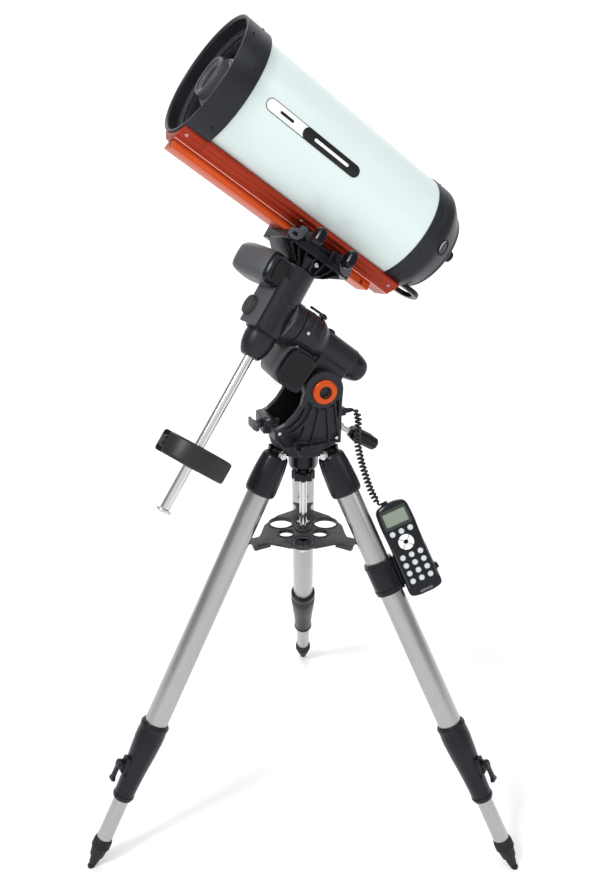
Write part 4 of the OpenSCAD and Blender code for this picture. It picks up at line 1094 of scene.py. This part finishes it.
def leg_group(name):
    at = leg_frame(name)
    body = "leg_" + name
    sleeve = Piece("sleeve_" + name, at)
    sleeve.lathe(rounded([(0, 1), (22, 1), (28, 8), (31.6, 36), (33.2, 70), (33, 88), (30, 94), (25.5, 94),
                          (25.5, 24),
                          (0, 24)], [0, 6, 6, 10, 6, 4, 3, 0.6, 0, 0], 4), 96)
    sleeve.place(turn(90, "X")).slab(
        [(-9, 14)] + [(9 * math.cos(t), 9 * math.sin(t)) for t in np.linspace(math.pi, 2 * math.pi, 16)] + [(9,
                                                                                                             14)],
        -10, 10, 1.0)
    bore = Piece("sleeve_bore_" + name, at)
    bore.place(ALONG_Y).rod(5.06, -30, 30, 0, 24)
    sleeve.done(body, black_cast, "leg_castings_" + name, "black_cast", smooth=38, cut=bore)

    collar = Piece("collar_" + name, at)
    collar.lathe(rounded([(25.5, 640), (29.2, 640), (30.4, 648), (30.6, 690), (29, 716), (25, 756), (22.6, 800),
                          (22.4, 824), (20.6, 828), (17.1, 828), (17.1, 700), (25.5, 700)],
                         [0.6, 2, 3, 8, 14, 14, 8, 2, 1, 0.6, 0, 0], 4), 96, closed=True)
    collar.ring(31.4, 28, 644, 650, 1.2, 96)
    collar.ring(23.8, 20, 816, 822, 1.0, 96)
    collar.place(move(-27, 0, 747)).box((16, 20, 36), (0, 0, 0), 3)
    for z in (664, 672, 680):
        collar.place().ring(31.2, 29, z, z + 2.4, 0.6, 96)
    hole = Piece("collar_bore_" + name, at @ move(-60, 0, 747) @ ALONG_X)
    hole.rod(4.06, 0, 80, 0, 24)
    collar.done(body, black_cast, slot="black_cast", smooth=38, cut=hole)
    lever = Piece("lever_" + name, at @ move(-34.5, 0, 747) @ turn(-90, "Y"))
    lever.lathe(rounded([(0, 0.6), (10, 0.6), (11, 4), (10.4, 12.4), (8, 14), (0, 14)], [0, 1, 1, 1.4, 1, 0]),
                40)
    lever.slab(rounded([(-7, -6), (18, -4.4), (30, -5), (36, -9.5), (39.5, -9), (39.5, 9), (36, 9.5), (30, 5),
                        (18, 4.4),
                        (-7, 6)], 1.8), 6.4, 13.6, 1.6)
    lever.rod(4, -12, 1, 0.3, 24)
    lever.done("lever_" + name, black_plastic, "collar_lever_" + name, "black_plastic")

    upper = Piece("upper_tube_" + name, at)
    upper.ring(25.4, 23, 24, 700, 0.3, 96)
    upper.done(body, drawn_steel, "leg_tube_" + name, "steel_tube", smooth=30)
    low = Piece("lower_tube_skin_" + name, at)
    low.ring(17, 15, 420, 940, 0.3, 80)
    low.done("lower_leg_" + name, drawn_steel, "lower_tube_" + name, "steel_tube", smooth=30)

    foot = Piece("foot_rubber_" + name, at)
    foot.lathe(rounded([(17.1, 929), (19, 929), (20, 934), (19.6, 948), (18, 954), (16, 966), (15, 974),
                        (0, 974), (0, 941),
                        (17.1, 941)], [0.4, 1, 2, 2, 2, 4, 3, 0, 0, 0], 4), 64)
    for z in (936, 942, 948):
        foot.ring(20.6, 18, z, z + 2, 0.6, 64)
    foot.lathe(rounded([(0, 958), (13, 958), (12, 974), (9.5, LEG_LEN - 12), (8, LEG_LEN - 7),
                        (0, LEG_LEN - 6)],
                       [0, 0, 2, 4, 2, 0], 4), 48)
    foot.base = STAND @ turn(LEGS[name], "Z") @ move(FOOT_R, 0, 0)
    done_at = foot.base.inverted() @ at
    foot.bm.transform(done_at)
    foot.place().lathe(rounded([(0, 0), (7.4, 0), (8, 1.2), (8, 5), (6.5, 7), (0, 8)], [0, 0.4, 0.4, 1, 1, 0]),
                       40)
    foot.done("lower_leg_" + name, rubber, "foot_" + name, "rubber_black", smooth=38)


# ------------------------------------------------------------------ hand control
KEY_X, KEY_Z = (-20, 0, 20), (-14, -32, -50, -68)


def control_group():
    body = "leg_right"
    face = turn(90, "X")
    shell = Piece("control_body", CONTROL)
    wide, tall = 37.6, 103.6
    shape = rounded([(-wide, -tall + 4), (-14, -tall), (14, -tall), (wide, -tall + 4), (wide - 2, 20),
                     (wide, 60),
                     (wide - 3, tall - 6), (12, tall), (-12, tall), (-wide + 3, tall - 6), (-wide, 60),
                     (-wide + 2, 20)],
                    [16, 6, 6, 16, 30, 30, 15, 6, 6, 15, 30, 30], 5)
    shell.place(face).loft([(scaled(shape, 0.90), -11.8), (scaled(shape, 0.95), -11.0),
                            (scaled(shape, 0.99), -7.6),
                            (shape, -4.0), (shape, 4.0), (scaled(shape, 0.975), 9.0),
                            (scaled(shape, 0.90), 11.9)])
    recess = Piece("control_recess", CONTROL)
    recess.place(face).slab(rounded([(-25, 56), (25, 56), (25, 86), (-25, 86)], 2), -20, -9.4, 0)
    for x in KEY_X:
        for z in (40, *KEY_Z):
            recess.place(face @ move(x, z, 0)).rod(6.5, -14, -6.0, 0, 32)
    recess.place(face @ move(0, 15, 0)).rod(17.5, -14, -6.0, 0, 64)
    recess.place(face).slab(rounded([(-14, -98), (14, -98), (14, -92), (-14, -92)], 2), -20, 20, 0)
    shell.done(body, black_plastic, "control_shell", "black_plastic", smooth=34, cut=recess)
    bezel = Piece("control_bezel", CONTROL).place(face)
    bezel.slab(rounded([(-31, 50), (31, 50), (29, 93), (-29, 93)], 6), -12.9, -11, 0.7,
               [rounded([(-25, 56), (-25, 86), (25, 86), (25, 56)], 2)])
    bezel.done(body, grey_plastic, slot="black_plastic", smooth=30)
    window = Piece("control_window", CONTROL).place(face)
    window.slab(rounded([(-24.9, 56.1), (24.9, 56.1), (24.9, 85.9), (-24.9, 85.9)], 1.5), -11.4, -9.2, 0.3)
    window.done(body, lcd, "control_display", "lcd", smooth=30)
    for names, rows in (("function_keys", (40,)), ("number_keys", KEY_Z)):
        keys = Piece(names + "_caps", CONTROL)
        for x in KEY_X:
            for z in rows:
                keys.place(face @ move(x, z, 0) @ turn(180, "X"))
                keys.lathe(rounded([(0, 7.5), (6, 7.5), (6, 13), (5, 14.4), (0, 14.9)], [0, 0, 0.8, 1.2, 0]),
                           32)
        keys.done(names, key_rubber, names, "key_grey", smooth=40)
        rings = Piece(names + "_rings", CONTROL)
        for x in KEY_X:
            for z in rows:
                rings.place(face @ move(x, z, 0) @ turn(180, "X")).ring(7.6, 6.5, 11.4, 12.7, 0.3, 32)
        rings.done(body, grey_plastic, slot="black_plastic")
    pad = Piece("arrow_pad", CONTROL)
    for k in range(4):
        a = math.radians(90 * k)
        arc = [(16.6 * math.cos(a + t), 16.6 * math.sin(a + t)) for t in np.linspace(-0.73, 0.73, 12)]
        inner = [(5.6 * math.cos(a + t), 5.6 * math.sin(a + t)) for t in np.linspace(0.62, -0.62, 6)]
        pad.place(face @ move(0, 15, 0) @ turn(180, "X")).slab(arc + inner, 7.5, 14.6, 1.0)
    pad.lathe([(14, 7.5), (14, 9.5), (5, 9.5), (5, 7.5)], 48, closed=True)
    pad.done("arrow_keys", white_rubber, "arrow_keys", "key_grey", smooth=40)
    marks = Piece("control_strips", CONTROL)
    for x in (-33, 33):
        marks.place(face).box((1.4, 92, 1.0), (x, -34, -11.6), 0.3, 1)
    marks.done(body, light_plastic, slot="grey_plastic")

    holder = Piece("control_clamp", leg_frame("right") @ move(0, 0, 250))
    holder.ring(31.2, 25.5, 0, 72, 1.2, 96)
    holder.ring(32.4, 30, 6, 12, 0.8, 96).ring(32.4, 30, 60, 66, 0.8, 96)
    holder.done(body, black_plastic, "control_holder", "black_plastic", smooth=30)
    fork = Piece("control_fork", CONTROL)
    fork.place(face).slab(rounded([(-38, -74), (43.6, -74), (43.6, -8), (30, -8), (24, -40), (-18, -40),
                                   (-24, -8),
                                   (-38, -8)], 4), 12.3, 22, 1.4)
    fork.place().box((5.4, 19, 66), (41.2, -3, -41), 1.4)
    fork.box((5, 24, 10), (-40.6, -5, -60), 1.4).box((84, 6, 6), (2, -15, -70), 1.4)
    fork.done(body, black_plastic, slot="black_plastic", smooth=30)


# the cord's centre line, from the plug beside the yoke to the top of the hand control, then its
# straight lead; wire radius, coil radius and pitch
CORD = [(102, 3, 966), (111, 2, 959), (114, -6, 940), (112, -17, 908), (119, -26, 870), (131, -39, 832),
        (144, -50, 799), (158, -56, 776), (168, -58, 779), (174, -59, 782)]
WIRE, COIL_R, PITCH = 2.4, 5.7, 8.6


def smooth_line(points, steps):
    out = []
    p = [Vector(q) for q in points]
    for i in range(len(p) - 1):
        a, b, c, d = p[max(i - 1, 0)], p[i], p[i + 1], p[min(i + 2, len(p) - 1)]
        for k in range(steps):
            t = k / steps
            out.append(0.5 * (2 * b + (c - a) * t + (2 * a - 5 * b + 4 * c - d) * t * t + (3 * b - a - 3 * c + d) * t ** 3))
    return out + [p[-1]]


def curly_cord():
    line = smooth_line(CORD[:8], 60)
    far = [0.0]
    for a, b in zip(line, line[1:]):
        far.append(far[-1] + (b - a).length)
    total, path, side = far[-1], [], Vector((1, 0, 0))
    steps = int(total / PITCH * 18)
    i = 0
    for k in range(steps + 1):
        s = total * k / steps
        while i < len(far) - 2 and far[i + 1] < s:
            i += 1
        t = (s - far[i]) / (far[i + 1] - far[i])
        p = line[i].lerp(line[i + 1], t)
        along = (line[i + 1] - line[i]).normalized()
        side = (side - along * side.dot(along)).normalized()
        other = along.cross(side)
        ease = min(1, s / 14, (total - s) / 14)
        r = COIL_R * ease * ease * (3 - 2 * ease)
        a = 2 * math.pi * s / PITCH
        path.append(p + r * (math.cos(a) * side + math.sin(a) * other))
    lead = smooth_line([tuple(path[-1]), *CORD[8:]], 8)[1:]
    path += lead
    wire = Piece("curly_cord", STAND)
    wire.sweep(path, WIRE, 8)
    made = wire.done("azimuth_head", cord_rubber, "control_cord", "rubber_black", smooth=60)
    world = [(STAND @ p) * MM for p in path]
    long = sum((b - a).length for a, b in zip(world, world[1:]))
    return made, world, long


def plug_group():
    plug = Piece("cord_plug", AZ @ move(-64, 34, 66) @ turn(-90, "Y"))
    plug.slab(rounded([(-8, -9), (8, -9), (8, 9), (-8, 9)], 3), 0.2, 14, 1.2)
    plug.lathe([(0, 13)] + rounded([(6, 13), (6, 17), (5.2, 19), (4.4, 28), (3.2, 33), (0, 33)],
                                   [0, 1, 1, 1, 1, 0]), 32)
    for z in (18, 21, 24, 27):
        plug.ring(5.6 - 0.12 * (z - 18), 3, z, z + 1.5, 0.3, 32)
    plug.done("azimuth_head", black_plastic, "control_plug", "black_plastic")
    lead = Piece("control_lead_sleeve", STAND)
    sleeve = smooth_line([(162, -57, 777.4), (168, -58, 779), (175, -59, 782.4)], 5)
    lead.sweep(sleeve, [2.6 + 0.26 * k for k in range(len(sleeve))], 20)
    lead.done("leg_right", black_plastic, slot="black_plastic")


cord, cord_path, cord_length = curly_cord()
tuple(cord_path[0])
[tuple(p) for p in cord_path]
plug_group()
tube_group()
label_plates()
dovetail()
saddle_group()
dec_group()
weight_group()
polar_group()
yoke_group()
tripod_group()
control_group()


# ------------------------------------------------------------------ CAD nodes that stay as they are
def finish_cad():
    slots = {s["node"]: s["material_slot"] for s in frame["record"]["subparts"]}
    for name, obj in frame["nodes"].items():
        obj.data.materials.clear()
        obj.data.materials.append(CAD_FINISH[slots[name]])
        weld = obj.modifiers.new("weld", "WELD")
        weld.merge_threshold = 0.00002
        edge = obj.modifiers.new("edge", "BEVEL")
        edge.width, edge.segments, edge.limit_method = 0.0009, 2, "ANGLE"
        edge.angle_limit = math.radians(35)
        edge.harden_normals = False


finish_cad()
